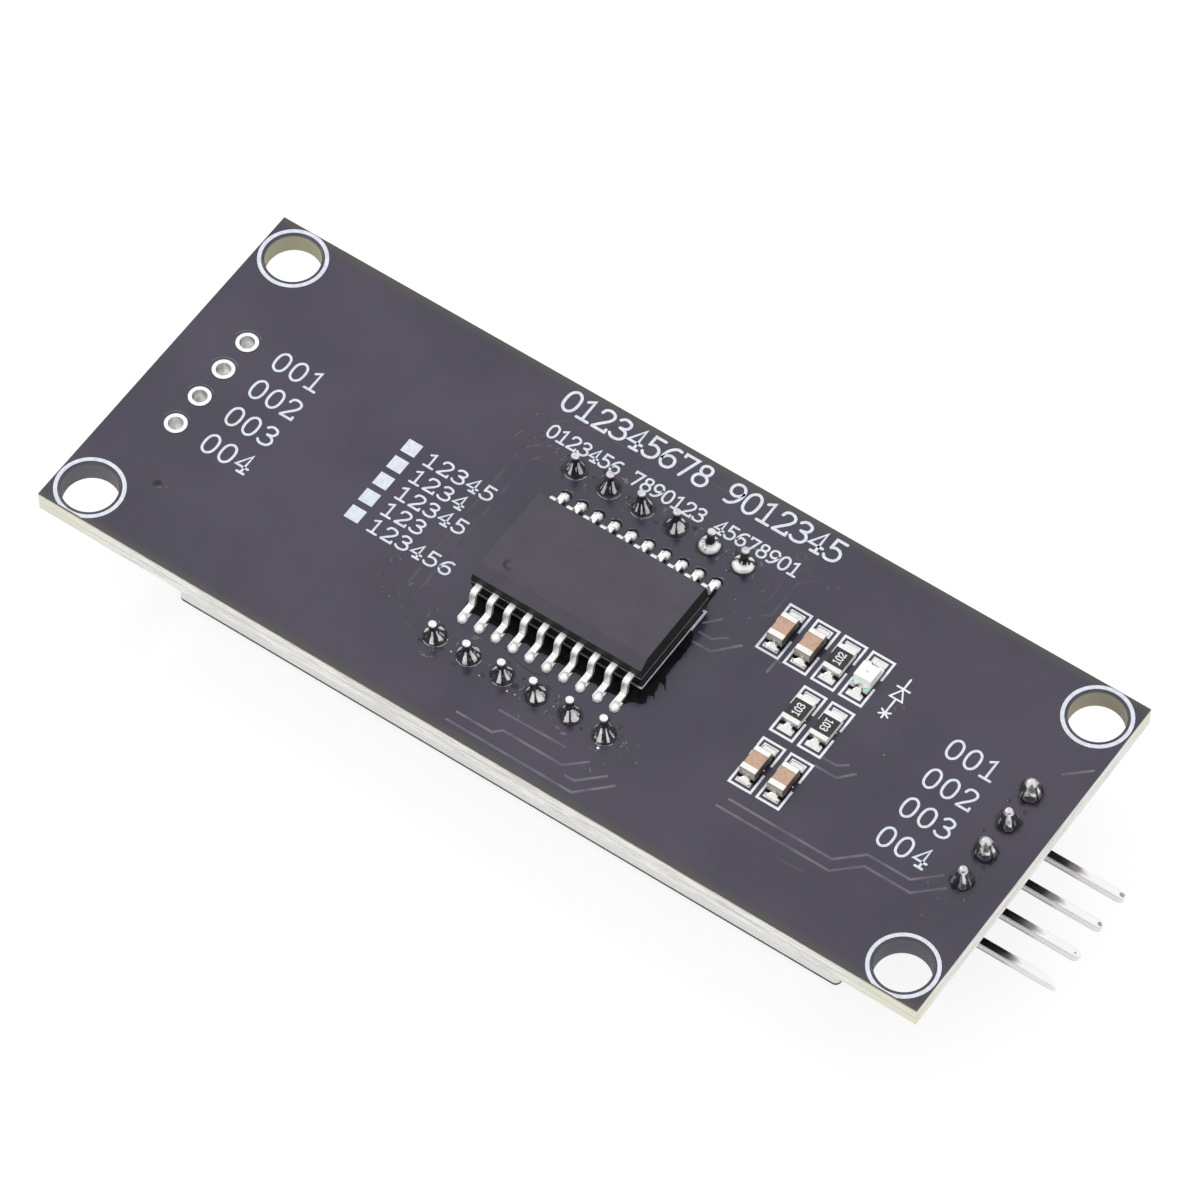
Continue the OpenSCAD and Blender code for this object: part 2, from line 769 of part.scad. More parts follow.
module header_solder() {
    color("gainsboro") at_row(header_x) difference() {
        solder_cone(row_hole_d, row_pad_d, pin_side / 2 * sqrt(2));
        translate([-pin_side / 2, -pin_side / 2, board_z - cut])
            cube([pin_side, pin_side, board_t + cone_h + 2 * cut]);
    }
}

// Display

// Point of a digit, upright as read from the front, put on the slant and seen from behind
function slanted(p) = [-p[0] - p[1] * tan(slant), p[1]];
function flip_x(points) = [for (i = [len(points) - 1:-1:0]) [-points[i][0], points[i][1]]];
function flip_y(points) = [for (i = [len(points) - 1:-1:0]) [points[i][0], -points[i][1]]];

half_w = digit_w / 2;
half_h = digit_h / 2;
mitre = segment_gap / sqrt(2);
corner = segment_corner;

// Top segment, upper right segment and middle segment, in the digit's own upright frame
top_segment = [
    [half_w - corner, half_h],
    [half_w - (corner + mitre) / 2, half_h - (corner - mitre) / 2],
    [half_w - mitre - segment_w, half_h - segment_w],
    [mitre + segment_w - half_w, half_h - segment_w],
    [(corner + mitre) / 2 - half_w, half_h - (corner - mitre) / 2],
    [corner - half_w, half_h]
];
upper_right_segment = [
    [half_w - (corner - mitre) / 2, half_h - (corner + mitre) / 2],
    [half_w, half_h - corner],
    [half_w, mitre],
    [half_w - segment_w / 2, mitre],
    [half_w - segment_w, mitre + segment_w / 2],
    [half_w - segment_w, half_h - mitre - segment_w]
];
middle_segment = [
    [half_w - segment_w / 2 - mitre, 0],
    [half_w - segment_w - mitre, segment_w / 2],
    [segment_w + mitre - half_w, segment_w / 2],
    [segment_w / 2 + mitre - half_w, 0],
    [segment_w + mitre - half_w, -segment_w / 2],
    [half_w - segment_w - mitre, -segment_w / 2]
];
segment_points = [
    top_segment,
    upper_right_segment,
    flip_y(upper_right_segment),
    flip_y(top_segment),
    flip_x(flip_y(upper_right_segment)),
    flip_x(upper_right_segment),
    middle_segment
];
segment_middles = [
    [0, half_h - segment_w / 2],
    [half_w - segment_w / 2, digit_h / 4],
    [half_w - segment_w / 2, -digit_h / 4],
    [0, segment_w / 2 - half_h],
    [segment_w / 2 - half_w, -digit_h / 4],
    [segment_w / 2 - half_w, digit_h / 4],
    [0, 0]
];
segment_upright = [false, true, true, false, true, true, false];
dot_middles = [[0, dot_spacing / 2], [0, -dot_spacing / 2]];

// Wedge that narrows from the front to the bottom of a cavity, run long and trimmed by the outline
module cavity_wedge(front_w, root_w, extra) {
    depth = carrier_z;
    grow = extra * (front_w - root_w) / depth / 2;
    rotate([90, 0, 90]) linear_extrude(2 * digit_h, center = true) polygon([
        [-front_w / 2 - grow, -extra], [front_w / 2 + grow, -extra],
        [root_w / 2 - grow, depth + extra], [grow - root_w / 2, depth + extra]
    ]);
}

// Resin that fills one segment cavity from the front face to the carrier board
module segment_guide(s, extra = 0) {
    upright = segment_upright[s];
    front_w = upright ? segment_w * cos(slant) : segment_w;
    middle = slanted(segment_middles[s]);
    intersection() {
        translate([0, 0, -extra]) linear_extrude(carrier_z + 2 * extra)
            polygon([for (p = segment_points[s]) slanted(p)]);
        translate([middle[0], middle[1], 0]) rotate([0, 0, upright ? 90 + slant : 0])
            cavity_wedge(front_w, segment_root_w, extra);
    }
}

module dot_guide(extra = 0) {
    grow = extra * (dot_d - dot_root_d) / carrier_z;
    translate([0, 0, -extra])
        cylinder(d1 = dot_d + grow, d2 = dot_root_d - grow, h = carrier_z + 2 * extra, $fn = round_steps);
}

module at_digit(i) {
    translate([((DIGITS - 1) / 2 - (i - 1)) * digit_pitch, 0, 0]) children();
}

module at_dots() {
    for (m = dot_middles) translate(slanted(m)) children();
}

module die() {
    translate([-die_side / 2, -die_side / 2, carrier_z - die_h]) cube([die_side, die_side, die_h]);
}

module all_guides(extra) {
    for (i = [1:DIGITS]) at_digit(i) for (s = [0:SEGMENTS - 1]) segment_guide(s, extra);
    at_dots() dot_guide(extra);
}

module display_case() {
    color([0.9, 0.89, 0.87]) difference() {
        translate([0, 0, face_t]) linear_extrude(display_h - face_t)
            round_rect(display_l, display_w, display_corner_r);
        translate([0, 0, carrier_z]) linear_extrude(display_h)
            round_rect(recess_l, recess_w, recess_corner_r);
        all_guides(0.01);
    }
}

module display_front() {
    color([0.12, 0.12, 0.12]) difference() {
        linear_extrude(face_t) round_rect(display_l, display_w, display_corner_r);
        all_guides(0.01);
    }
}

module digit_segments(i) {
    color([0.85, 0.86, 0.84]) at_digit(i) for (s = [0:SEGMENTS - 1]) difference() {
        segment_guide(s);
        translate(slanted(segment_middles[s])) die();
    }
}

module colon_dots() {
    color([0.85, 0.86, 0.84]) at_dots() difference() {
        dot_guide();
        die();
    }
}

module display_dies() {
    color("gold") {
        for (i = [1:DIGITS]) at_digit(i) for (m = segment_middles) translate(slanted(m)) die();
        at_dots() die();
    }
}

// Layer of the case's recess that the pins pass through
module recess_slab(z, t) {
    difference() {
        translate([0, 0, z]) linear_extrude(t) round_rect(recess_l, recess_w, recess_corner_r);
        at_display_pins() display_pin();
    }
}

module display_carrier() {
    color([0.2, 0.42, 0.24]) recess_slab(carrier_z, carrier_t);
}

module display_potting() {
    color([0.8, 0.79, 0.74]) recess_slab(potting_z, display_h - potting_step - potting_z);
}

module display_pin() {
    rise = top_z + display_tip_h - carrier_z;
    translate([0, 0, carrier_z]) cylinder(d = display_pin_d, h = rise, $fn = small_steps);
}

module display_pins_near() {
    color("silver") at_display_pins([-1]) display_pin();
}

module display_pins_far() {
    color("silver") at_display_pins([1]) display_pin();
}

module display_solder() {
    color("gainsboro") at_display_pins() difference() {
        solder_cone(display_hole_d, display_pad_d, display_pin_d / 2);
        display_pin();
    }
}

circuit_board();
spare_hole_pads();
header_hole_pads();
display_hole_pads();
chip_lands();
small_part_lands();
white_print();
chip_body();
chip_leads_near();
chip_leads_far();
chip_solder();
for (i = [1:len(CAPACITORS)]) at_small_parts([CAPACITORS[i - 1]]) {
    capacitor_block();
    capacitor_ends();
}
for (i = [1:len(RESISTORS)]) at_small_parts([RESISTORS[i - 1]]) {
    resistor_base();
    resistor_cover();
    resistor_ends();
}
at_small_parts([STATUS_LIGHT]) {
    status_light_base();
    status_light_lens();
    status_light_die();
    status_light_ends();
}
small_part_solder();
header_insulator();
for (i = [1:ROW_PINS]) header_pin(i);
header_solder();
display_case();
display_front();
for (i = [1:DIGITS]) digit_segments(i);
colon_dots();
display_carrier();
display_dies();
display_potting();
display_pins_near();
display_pins_far();
display_solder();
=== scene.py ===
"""Looks of the seven segment display module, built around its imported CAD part.

Lengths are in millimetres in the CAD part's frame, and Shape.piece() turns
them into metres. X runs along the board towards the header pins, Y across the
board, and Z out of its component side.
"""

import math
import random

import bpy
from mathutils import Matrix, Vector


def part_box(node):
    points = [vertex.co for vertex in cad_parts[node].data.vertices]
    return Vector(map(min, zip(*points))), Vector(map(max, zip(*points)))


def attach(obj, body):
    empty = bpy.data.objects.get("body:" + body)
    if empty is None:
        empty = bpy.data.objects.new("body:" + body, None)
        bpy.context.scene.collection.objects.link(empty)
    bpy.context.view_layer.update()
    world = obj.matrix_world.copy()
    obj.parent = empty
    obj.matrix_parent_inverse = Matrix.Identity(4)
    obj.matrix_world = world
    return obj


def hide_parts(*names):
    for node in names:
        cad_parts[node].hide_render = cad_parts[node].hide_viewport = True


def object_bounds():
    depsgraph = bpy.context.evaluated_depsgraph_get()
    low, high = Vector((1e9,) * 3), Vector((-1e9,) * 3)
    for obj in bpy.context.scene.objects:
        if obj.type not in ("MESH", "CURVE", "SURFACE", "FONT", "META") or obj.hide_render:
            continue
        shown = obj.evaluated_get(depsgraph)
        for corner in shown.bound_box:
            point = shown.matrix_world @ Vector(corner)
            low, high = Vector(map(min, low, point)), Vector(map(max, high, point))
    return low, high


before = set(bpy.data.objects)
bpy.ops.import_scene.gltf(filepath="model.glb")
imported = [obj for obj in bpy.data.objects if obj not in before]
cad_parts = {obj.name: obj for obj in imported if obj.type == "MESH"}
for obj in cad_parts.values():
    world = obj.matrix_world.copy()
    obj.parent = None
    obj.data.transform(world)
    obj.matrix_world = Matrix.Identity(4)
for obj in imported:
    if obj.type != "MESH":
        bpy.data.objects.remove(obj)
cad_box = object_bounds()

MM = 0.001
PITCH = 2.54
LEAD_PITCH = 1.27


def box_mm(node):
    """Lowest and highest corner of a CAD node, in millimetres."""
    low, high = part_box(node)
    return low / MM, high / MM


def middle(node):
    low, high = box_mm(node)
    return (low + high) / 2


FACE_Z = box_mm("circuit_board")[1].z
BOARD_T = FACE_Z - box_mm("circuit_board")[0].z
PAD_Z = box_mm("display_hole_pads")[1].z
BOARD_END = box_mm("circuit_board")[1].x
BOARD_SIDE = box_mm("circuit_board")[1].y

PIN_R = 0.25
PIN_ROW_X = [box_mm("display_pins_near")[0].x + PIN_R + PITCH * i for i in range(6)]
NEAR_ROW_Y = middle("display_pins_near").y
FAR_ROW_Y = middle("display_pins_far").y
PIN_FOOT_Z = box_mm("display_pins_near")[0].z
PIN_TIP_Z = box_mm("display_pins_near")[1].z

HEADER_PINS = [f"header_pin_{i}" for i in range(1, 5)]
HEADER_Y = [middle(name).y for name in HEADER_PINS]
HEADER_PIN_SIDE = 0.64
HEADER_Z = box_mm("header_pin_1")[0].z + HEADER_PIN_SIDE / 2
HEADER_X = box_mm("header_pin_1")[0].x + HEADER_PIN_SIDE / 2
SPARE_X = middle("spare_hole_pads").x

MOUNT_X = 30.5
MOUNT_YS = (-10.91, 10.75)

CHIP_LOW, CHIP_HIGH = box_mm("chip_body")
LEAD_X = [LEAD_PITCH * (i - 4.5) for i in range(10)]
CHIP_LINE_Y = -3.54
DIMPLE_INSET = 1.75

# How far thin films and beads reach down into the board.
SINK = 0.004

CAPACITORS = [f"capacitor_{i}" for i in range(1, 5)]
RESISTORS = [f"resistor_{i}" for i in range(1, 4)]

# Shapes


class Shape:
    """Points in millimetres and faces, gathered until they become one piece."""

    def __init__(self):
        self.points = []
        self.faces = []
        self.painted_shine = []

    def add(self, points, faces, painted_shine=None):
        """Adds faces on new points, which may each have a painted highlight level from nought to one."""
        first = len(self.points)
        self.points.extend(points)
        self.painted_shine.extend(painted_shine or [1.0] * len(points))
        self.faces.extend([first + i for i in face] for face in faces)

    def loft(self, rings, loop=False, painted_shine=None):
        """Joins rings of equal length, and closes both ends unless the rings form a loop."""
        size = len(rings[0])
        count = len(rings)
        faces = []
        for level in range(count if loop else count - 1):
            a = level * size
            b = (level + 1) % count * size
            for i in range(size):
                j = (i + 1) % size
                faces.append((a + i, a + j, b + j, b + i))
        if not loop:
            last = (count - 1) * size
            faces.append(tuple(reversed(range(size))))
            faces.append(tuple(last + i for i in range(size)))
        self.add([p for ring in rings for p in ring], faces, painted_shine)

    def piece(self, name, finish, replaces=(), sharp=35):
        """Makes the mesh object, smooth-shaded up to the sharp angle in degrees."""
        mesh = bpy.data.meshes.new(name)
        mesh.from_pydata([[c * MM for c in p] for p in self.points], [], self.faces)
        mesh.attributes.new("painted_shine", "FLOAT", "POINT").data.foreach_set("value", self.painted_shine)
        mesh.validate()
        mesh.polygons.foreach_set("use_smooth", [True] * len(mesh.polygons))
        mesh.set_sharp_from_angle(angle=math.radians(sharp))
        mesh.materials.append(finish)
        made = bpy.data.objects.new(name, mesh)
        bpy.context.scene.collection.objects.link(made)
        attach(made, "root")
        if replaces:
            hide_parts(*replaces)
        return made


def spline(points, steps=5, loop=False):
    """A smooth line through the points."""
    count = len(points)
    line = []
    for i in range(count if loop else count - 1):
        if loop:
            around = [points[(i + k) % count] for k in (-1, 0, 1, 2)]
        else:
            around = [points[min(max(i + k, 0), count - 1)] for k in (-1, 0, 1, 2)]
        for step in range(steps):
            t = step / steps
            line.append(tuple(
                0.5 * (2 * b + (c - a) * t + (2 * a - 5 * b + 4 * c - d) * t * t
                       + (3 * b - 3 * c + d - a) * t ** 3)
                for a, b, c, d in zip(*around)
            ))
    if not loop:
        line.append(tuple(points[-1]))
    return line


CAP_STEPS = 3


def stations(line, width, loop=False):
    """Points along a line with the normal and half width there, rounded off at both ends."""
    line = [Vector(p[:2]) for p in line]
    count = len(line)
    found = []
    for i, here in enumerate(line):
        before = line[i - 1] if i or loop else None
        after = line[(i + 1) % count] if i < count - 1 or loop else None
        into = (here - before).normalized() if before is not None else None
        out = (after - here).normalized() if after is not None else None
        along = (into or out) + (out or into)
        along.normalize()
        spread = 1 / max(0.6, along.dot(out or into))
        found.append((here, Vector((-along.y, along.x)), width / 2 * spread, 1.0, along))
    if loop:
        return found
    made = []
    for step in range(CAP_STEPS):
        angle = math.pi / 2 * (1 - step / CAP_STEPS)
        here, normal, half, _, along = found[0]
        share = max(math.cos(angle), 0.08)
        made.append((here - along * half * math.sin(angle), normal, half * share, share, along))
    made += found
    for step in range(CAP_STEPS - 1, -1, -1):
        angle = math.pi / 2 * (1 - step / CAP_STEPS)
        here, normal, half, _, along = found[-1]
        share = max(math.cos(angle), 0.08)
        made.append((here + along * half * math.sin(angle), normal, half * share, share, along))
    return made


FLAT = ((-1, 0), (1, 0), (1, 1), (-1, 1))
ROUND = ((-1, 0), (1, 0), (0.75, 0.62), (0.3, 0.95), (-0.3, 0.95), (-0.75, 0.62))


def sweep(shape, line, width, low, high, section=FLAT, loop=False):
    """Lays a strip of the section along a line on the level low, up to the level high."""
    rings = []
    for here, normal, half, share, _ in stations(line, width, loop):
        lift = share if section is ROUND else 1
        rings.append([
            (here.x + normal.x * u * half, here.y + normal.y * u * half, low + (high - low) * v * lift)
            for u, v in section
        ])
    shape.loft(rings, loop)


def circle(x, y, radius, steps=32, start=0.0, turn=2 * math.pi):
    """Points on a circle, or on the arc from start through turn."""
    return [
        (x + radius * math.cos(start + turn * i / steps), y + radius * math.sin(start + turn * i / steps))
        for i in range(steps if turn == 2 * math.pi else steps + 1)
    ]


def blob_outline(x, y, radius, rng, wobble=0.15, steps=28, stretch=(1.0, 1.0)):
    """An uneven round outline."""
    waves = [(k, rng.uniform(0, 6.28), rng.uniform(0.3, 1.0) / k) for k in (2, 3, 5, 7)]
    outline = []
    for i in range(steps):
        angle = 2 * math.pi * i / steps
        r = radius * (1 + wobble * sum(a * math.cos(k * angle + p) for k, p, a in waves))
        outline.append((x + r * stretch[0] * math.cos(angle), y + r * stretch[1] * math.sin(angle)))
    return outline


def dome(shape, outline, low, height, power=2, rings=3):
    """A drop with the given outline: it stands height above low in its middle."""
    count = len(outline)
    cx = sum(p[0] for p in outline) / count
    cy = sum(p[1] for p in outline) / count
    levels = []
    for level in range(rings + 1):
        share = math.cos(math.pi / 2 * level / (rings + 0.35))
        z = low + height * (1 - share ** power)
        levels.append([(cx + (x - cx) * share, cy + (y - cy) * share, z) for x, y in outline])
    shape.loft(levels)


HUMP_STEPS = 8


def hump(shape, x, sections, power=2.4):
    """A drop along Y at x on a pad: sections are (y, half width, height) from one end to the other."""
    rings = []
    for y, half, height in sections:
        ring = [(x - half, y, JOINT_LOW), (x + half, y, JOINT_LOW)]
        for i in range(1, HUMP_STEPS):
            u = math.cos(math.pi * i / HUMP_STEPS)
            v = (1 - abs(u) ** power) ** (1 / power)
            ring.append((x + half * u, y, JOINT_LOW + height * v))
        rings.append(ring)
    shape.loft(rings)


# Finishes


class Finish:
    """A material made of nodes around one Principled shader."""

    def __init__(self, name, **values):
        self.material = bpy.data.materials.new(name)
        self.material.use_nodes = True
        self.tree = self.material.node_tree
        self.shader = self.tree.nodes["Principled BSDF"]
        for socket, value in values.items():
            self.shader.inputs[socket.replace("_", " ")].default_value = value
        self.place = self.node("ShaderNodeTexCoord").outputs["Object"]

    def node(self, kind, inputs=(), **settings):
        made = self.tree.nodes.new(kind)
        for key, value in settings.items():
            setattr(made, key, value)
        for key, value in dict(inputs).items():
            if isinstance(value, bpy.types.NodeSocket):
                self.tree.links.new(value, made.inputs[key])
            else:
                made.inputs[key].default_value = value
        return made

    def math(self, operation, a, b=0.0):
        return self.node("ShaderNodeMath", {0: a, 1: b}, operation=operation).outputs[0]

    def axis(self, index):
        """One coordinate of the surface point, in millimetres."""
        split = self.node("ShaderNodeSeparateXYZ", {0: self.place})
        return self.math("MULTIPLY", split.outputs[index], 1000.0)

    def facing(self, index):
        """How far the surface's own normal points along an axis, without its sign."""
        normal = self.node("ShaderNodeNewGeometry").outputs["True Normal"]
        split = self.node("ShaderNodeSeparateXYZ", {0: normal})
        return self.math("ABSOLUTE", split.outputs[index])

    def noise(self, per_mm, detail=2.0, stretch=(1.0, 1.0, 1.0), rough=0.5):
        place = self.node(
            "ShaderNodeMapping", {"Vector": self.place, "Scale": [1000 * per_mm * s for s in stretch]}
        ).outputs[0]
        return self.node(
            "ShaderNodeTexNoise", {"Vector": place, "Scale": 1.0, "Detail": detail, "Roughness": rough}
        ).outputs["Fac"]

    def step(self, value, start, end, low=0.0, high=1.0):
        """A smooth change from low to high as value goes from start to end."""
        return self.node(
            "ShaderNodeMapRange",
            {"Value": value, "From Min": start, "From Max": end, "To Min": low, "To Max": high},
            interpolation_type="SMOOTHSTEP",
        ).outputs[0]

    def blend(self, share, a, b):
        """Mixes two colours, each a colour or a socket."""
        mixed = self.node("ShaderNodeMix", data_type="RGBA")
        for key, value in ((0, share), (6, a), (7, b)):
            if isinstance(value, bpy.types.NodeSocket):
                self.tree.links.new(value, mixed.inputs[key])
            else:
                mixed.inputs[key].default_value = (*value, 1.0) if key else value
        return mixed.outputs[2]

    def paint(self, socket):
        self.tree.links.new(socket, self.shader.inputs["Base Color"])

    def roughen(self, value, low, high):
        self.tree.links.new(self.step(value, 0.3, 0.7, low, high), self.shader.inputs["Roughness"])

    def bump(self, *layers):
        """Adds bumps, each a (height socket, depth in millimetres)."""
        normal = None
        for height, depth in layers:
            inputs = {"Height": height, "Distance": depth * MM, "Strength": 1.0}
            if normal is not None:
                inputs["Normal"] = normal
            normal = self.node("ShaderNodeBump", inputs).outputs[0]
        self.tree.links.new(normal, self.shader.inputs["Normal"])


MASK_DARK = (0.018, 0.013, 0.036)
MASK_LIGHT = (0.029, 0.023, 0.050)
MASK_RIM = (0.045, 0.040, 0.032)
EDGE_CREAM = (0.90, 0.89, 0.86)
EDGE_STREAK = (0.60, 0.59, 0.54)
EDGE_LINE = (0.42, 0.41, 0.38)
EDGE_CORNER = (0.76, 0.75, 0.58)
# Hole walls in the left and right holes, painted darker as shade, most in the near holes.
WALL_FAR = ((0.41, 0.39, 0.27), (0.33, 0.31, 0.22))
WALL_NEAR = ((0.14, 0.135, 0.155), (0.105, 0.10, 0.125))
EDGE_TOP = (0.10, 0.09, 0.09)


def mask_tint(finish):
    """Dark solder mask, browner and thinner within half a millimetre of the board's long sides."""
    cloud = finish.noise(0.12, 3.0)
    tone = finish.blend(finish.step(cloud, 0.35, 0.65), MASK_DARK, MASK_LIGHT)
    reach = finish.math("ADD", finish.math("ABSOLUTE", finish.axis(1)), finish.math("MULTIPLY", cloud, 0.4))
    return finish.blend(finish.step(reach, BOARD_SIDE - 0.55, BOARD_SIDE + 0.2), tone, MASK_RIM)


def mask_bumps(finish):
    """Fine orange peel, and the long swells of the copper under the mask."""
    return (finish.noise(3.5, 2.0), 0.0035), (finish.noise(0.35, 2.0), 0.02)


def board_finish():
    """Dark solder mask on both faces, and bare glass-fibre laminate on the edges and in the holes, whose
    walls carry painted shade.
    """
    finish = Finish("board_mask", Specular_IOR_Level=0.8)
    x, y, z = (finish.axis(i) for i in range(3))
    side = finish.math("LESS_THAN", finish.facing(2), 0.5)
    inside = finish.math(
        "MULTIPLY",
        finish.math("LESS_THAN", finish.math("ABSOLUTE", x), BOARD_END - 0.1),
        finish.math("LESS_THAN", finish.math("ABSOLUTE", y), BOARD_SIDE - 0.1),
    )
    weave = finish.noise(1.0, 4.0, (0.5, 0.5, 9.0), 0.6)
    threads = finish.noise(1.6, 3.0, (0.12, 0.12, 6.0), 0.6)
    specks = finish.noise(5.0, 3.0, (1.0, 1.0, 2.5), 0.6)
    corner = finish.math(
        "MULTIPLY",
        finish.step(finish.math("ABSOLUTE", x), 24.0, BOARD_END),
        finish.step(finish.math("ABSOLUTE", y), 9.0, BOARD_SIDE),
    )
    edge = finish.blend(finish.step(weave, 0.42, 0.66), EDGE_CREAM, EDGE_STREAK)
    edge = finish.blend(finish.math("MULTIPLY", corner, 0.75), edge, EDGE_CORNER)
    edge = finish.blend(finish.step(specks, 0.56, 0.68, 0.0, 0.7), edge, EDGE_STREAK)
    edge = finish.blend(finish.step(threads, 0.62, 0.70, 0.0, 0.6), edge, EDGE_LINE)
    depth = finish.math("SUBTRACT", FACE_Z, z)
    seam = finish.math("ABSOLUTE", finish.math("SUBTRACT", depth, BOARD_T * 0.55))
    edge = finish.blend(finish.step(seam, 0.07, 0.0, 0.0, 0.6), edge, EDGE_LINE)
    # Painted shade in the holes: their laminate walls are painted much darker than the edge.
    along = finish.step(x, -BOARD_END, BOARD_END)
    across = finish.step(y, -BOARD_SIDE / 2, BOARD_SIDE / 2)
    wall = finish.blend(across, finish.blend(along, *WALL_NEAR), finish.blend(along, *WALL_FAR))
    laminate = finish.blend(inside, edge, wall)
    ragged = finish.math("ADD", depth, finish.math("MULTIPLY", finish.noise(2.2), 0.08))
    laminate = finish.blend(finish.step(ragged, 0.34, 0.1, 0.0, 0.35), laminate, EDGE_TOP)
    laminate = finish.blend(finish.step(ragged, 0.16, 0.06), laminate, EDGE_TOP)
    finish.paint(finish.blend(side, mask_tint(finish), laminate))
    gloss = finish.step(finish.noise(0.2, 2.0), 0.3, 0.7, 0.2, 0.28)
    rough = finish.math("MAXIMUM", gloss, finish.math("MULTIPLY", side, 0.7))
    finish.tree.links.new(rough, finish.shader.inputs["Roughness"])
    finish.bump(*mask_bumps(finish), (weave, 0.03))
    return finish.material


def ridge_finish():
    """Solder mask over the edge of a copper track, where it is thin and catches the light: its lighter colour
    is partly the thinner mask and partly a painted highlight.
    """
    finish = Finish("mask_ridge", Specular_IOR_Level=0.8, Roughness=0.25)
    cloud = finish.step(finish.noise(0.6), 0.35, 0.65)
    finish.paint(finish.blend(cloud, (0.07, 0.063, 0.095), (0.13, 0.12, 0.155)))
    finish.bump((finish.noise(3.5), 0.004))
    return finish.material


def swell_finish():
    """Solder mask that bulges a little over buried copper and round drilled holes."""
    finish = Finish("mask_swell", Specular_IOR_Level=0.8, Roughness=0.22)
    finish.paint(finish.blend(finish.step(finish.noise(0.8), 0.35, 0.65), MASK_DARK, (0.045, 0.038, 0.062)))
    finish.bump((finish.noise(3.5), 0.004))
    return finish.material


def metal_finish(name, colour, low, high, grain=2.0, darkening=(0.7, 0.68, 0.66), bumps=0.004, metallic=1.0):
    """Plated or soldered metal, with dull patches and fine unevenness."""
    finish = Finish(name, Metallic=metallic)
    patches = finish.noise(grain, 3.0)
    finish.paint(finish.blend(finish.step(patches, 0.5, 0.8, 0.0, 0.6), colour, darkening))
    finish.roughen(finish.noise(grain * 1.7, 2.0), low, high)
    finish.bump((finish.noise(grain * 3, 3.0), bumps))
    return finish.material


def joint_finish(name, bright, dull, metallic, cover):
    """Solder that is bright metal, a painted highlight, where its highlight level is high, and elsewhere a
    dark film that paints shade and dark reflection; the same dark film also covers its foot.
    """
    finish = Finish(name)
    height = finish.math("SUBTRACT", finish.axis(2), PAD_Z)
    ragged = finish.math("ADD", height, finish.math("MULTIPLY", finish.noise(2.2, 3.0), -0.14))
    lighter_part = finish.step(ragged, -0.05, 0.02)
    painted_shine = finish.node("ShaderNodeAttribute", attribute_name="painted_shine").outputs["Fac"]
    uneven = finish.math("SUBTRACT", finish.noise(5.5, 3.0, (1.0, 1.0, 0.6)), 0.5)
    uneven = finish.math("MULTIPLY", uneven, 0.95)
    lighter_part = finish.math("MULTIPLY", lighter_part, finish.step(finish.math("ADD", painted_shine, uneven), 0.3, 0.7))
    patches = finish.noise(2.4, 3.0)
    metal = finish.blend(finish.step(patches, 0.5, 0.8, 0.0, 0.4), bright, dull)
    specks = finish.step(finish.noise(7.0, 3.0, (1.0, 1.0, 0.5)), 0.55, 0.7)
    # The dark film where the highlight level is low is painted shade and dark reflection, in the colour given
    # as cover.
    film = finish.blend(specks, (0.022, 0.019, 0.026), cover)
    finish.paint(finish.blend(lighter_part, film, metal))
    finish.tree.links.new(finish.math("MULTIPLY", lighter_part, metallic), finish.shader.inputs["Metallic"])
    finish.roughen(finish.noise(4.0, 2.0), 0.12, 0.24)
    finish.bump((finish.noise(7.0, 3.0, (1.0, 1.0, 0.3)), 0.008))
    return finish.material


def display_pin_finish():
    """Round plated wire, dark with flux up to its cropped end, which is duller on the far row."""
    finish = Finish("display_pin")
    y, z = finish.axis(1), finish.axis(2)
    ragged = finish.math("ADD", z, finish.math("MULTIPLY", finish.noise(4.0, 2.0), 0.12))
    lighter_part = finish.step(ragged, PIN_TIP_Z - 0.18, PIN_TIP_Z - 0.06)
    patches = finish.step(finish.noise(3.5, 3.0), 0.45, 0.7, 0.0, 0.7)
    far = finish.blend(patches, (0.80, 0.77, 0.78), (0.42, 0.39, 0.40))
    near = finish.blend(finish.math("MULTIPLY", patches, 0.4), (0.95, 0.93, 0.93), (0.80, 0.72, 0.70))
    end = finish.blend(finish.math("GREATER_THAN", y, 0.0), near, far)
    finish.paint(finish.blend(lighter_part, (0.014, 0.012, 0.013), end))
    finish.tree.links.new(finish.math("MULTIPLY", lighter_part, 0.7), finish.shader.inputs["Metallic"])
    finish.roughen(finish.noise(2.0, 2.0), 0.2, 0.34)
    finish.bump((finish.noise(6.0, 2.0), 0.006))
    return finish.material


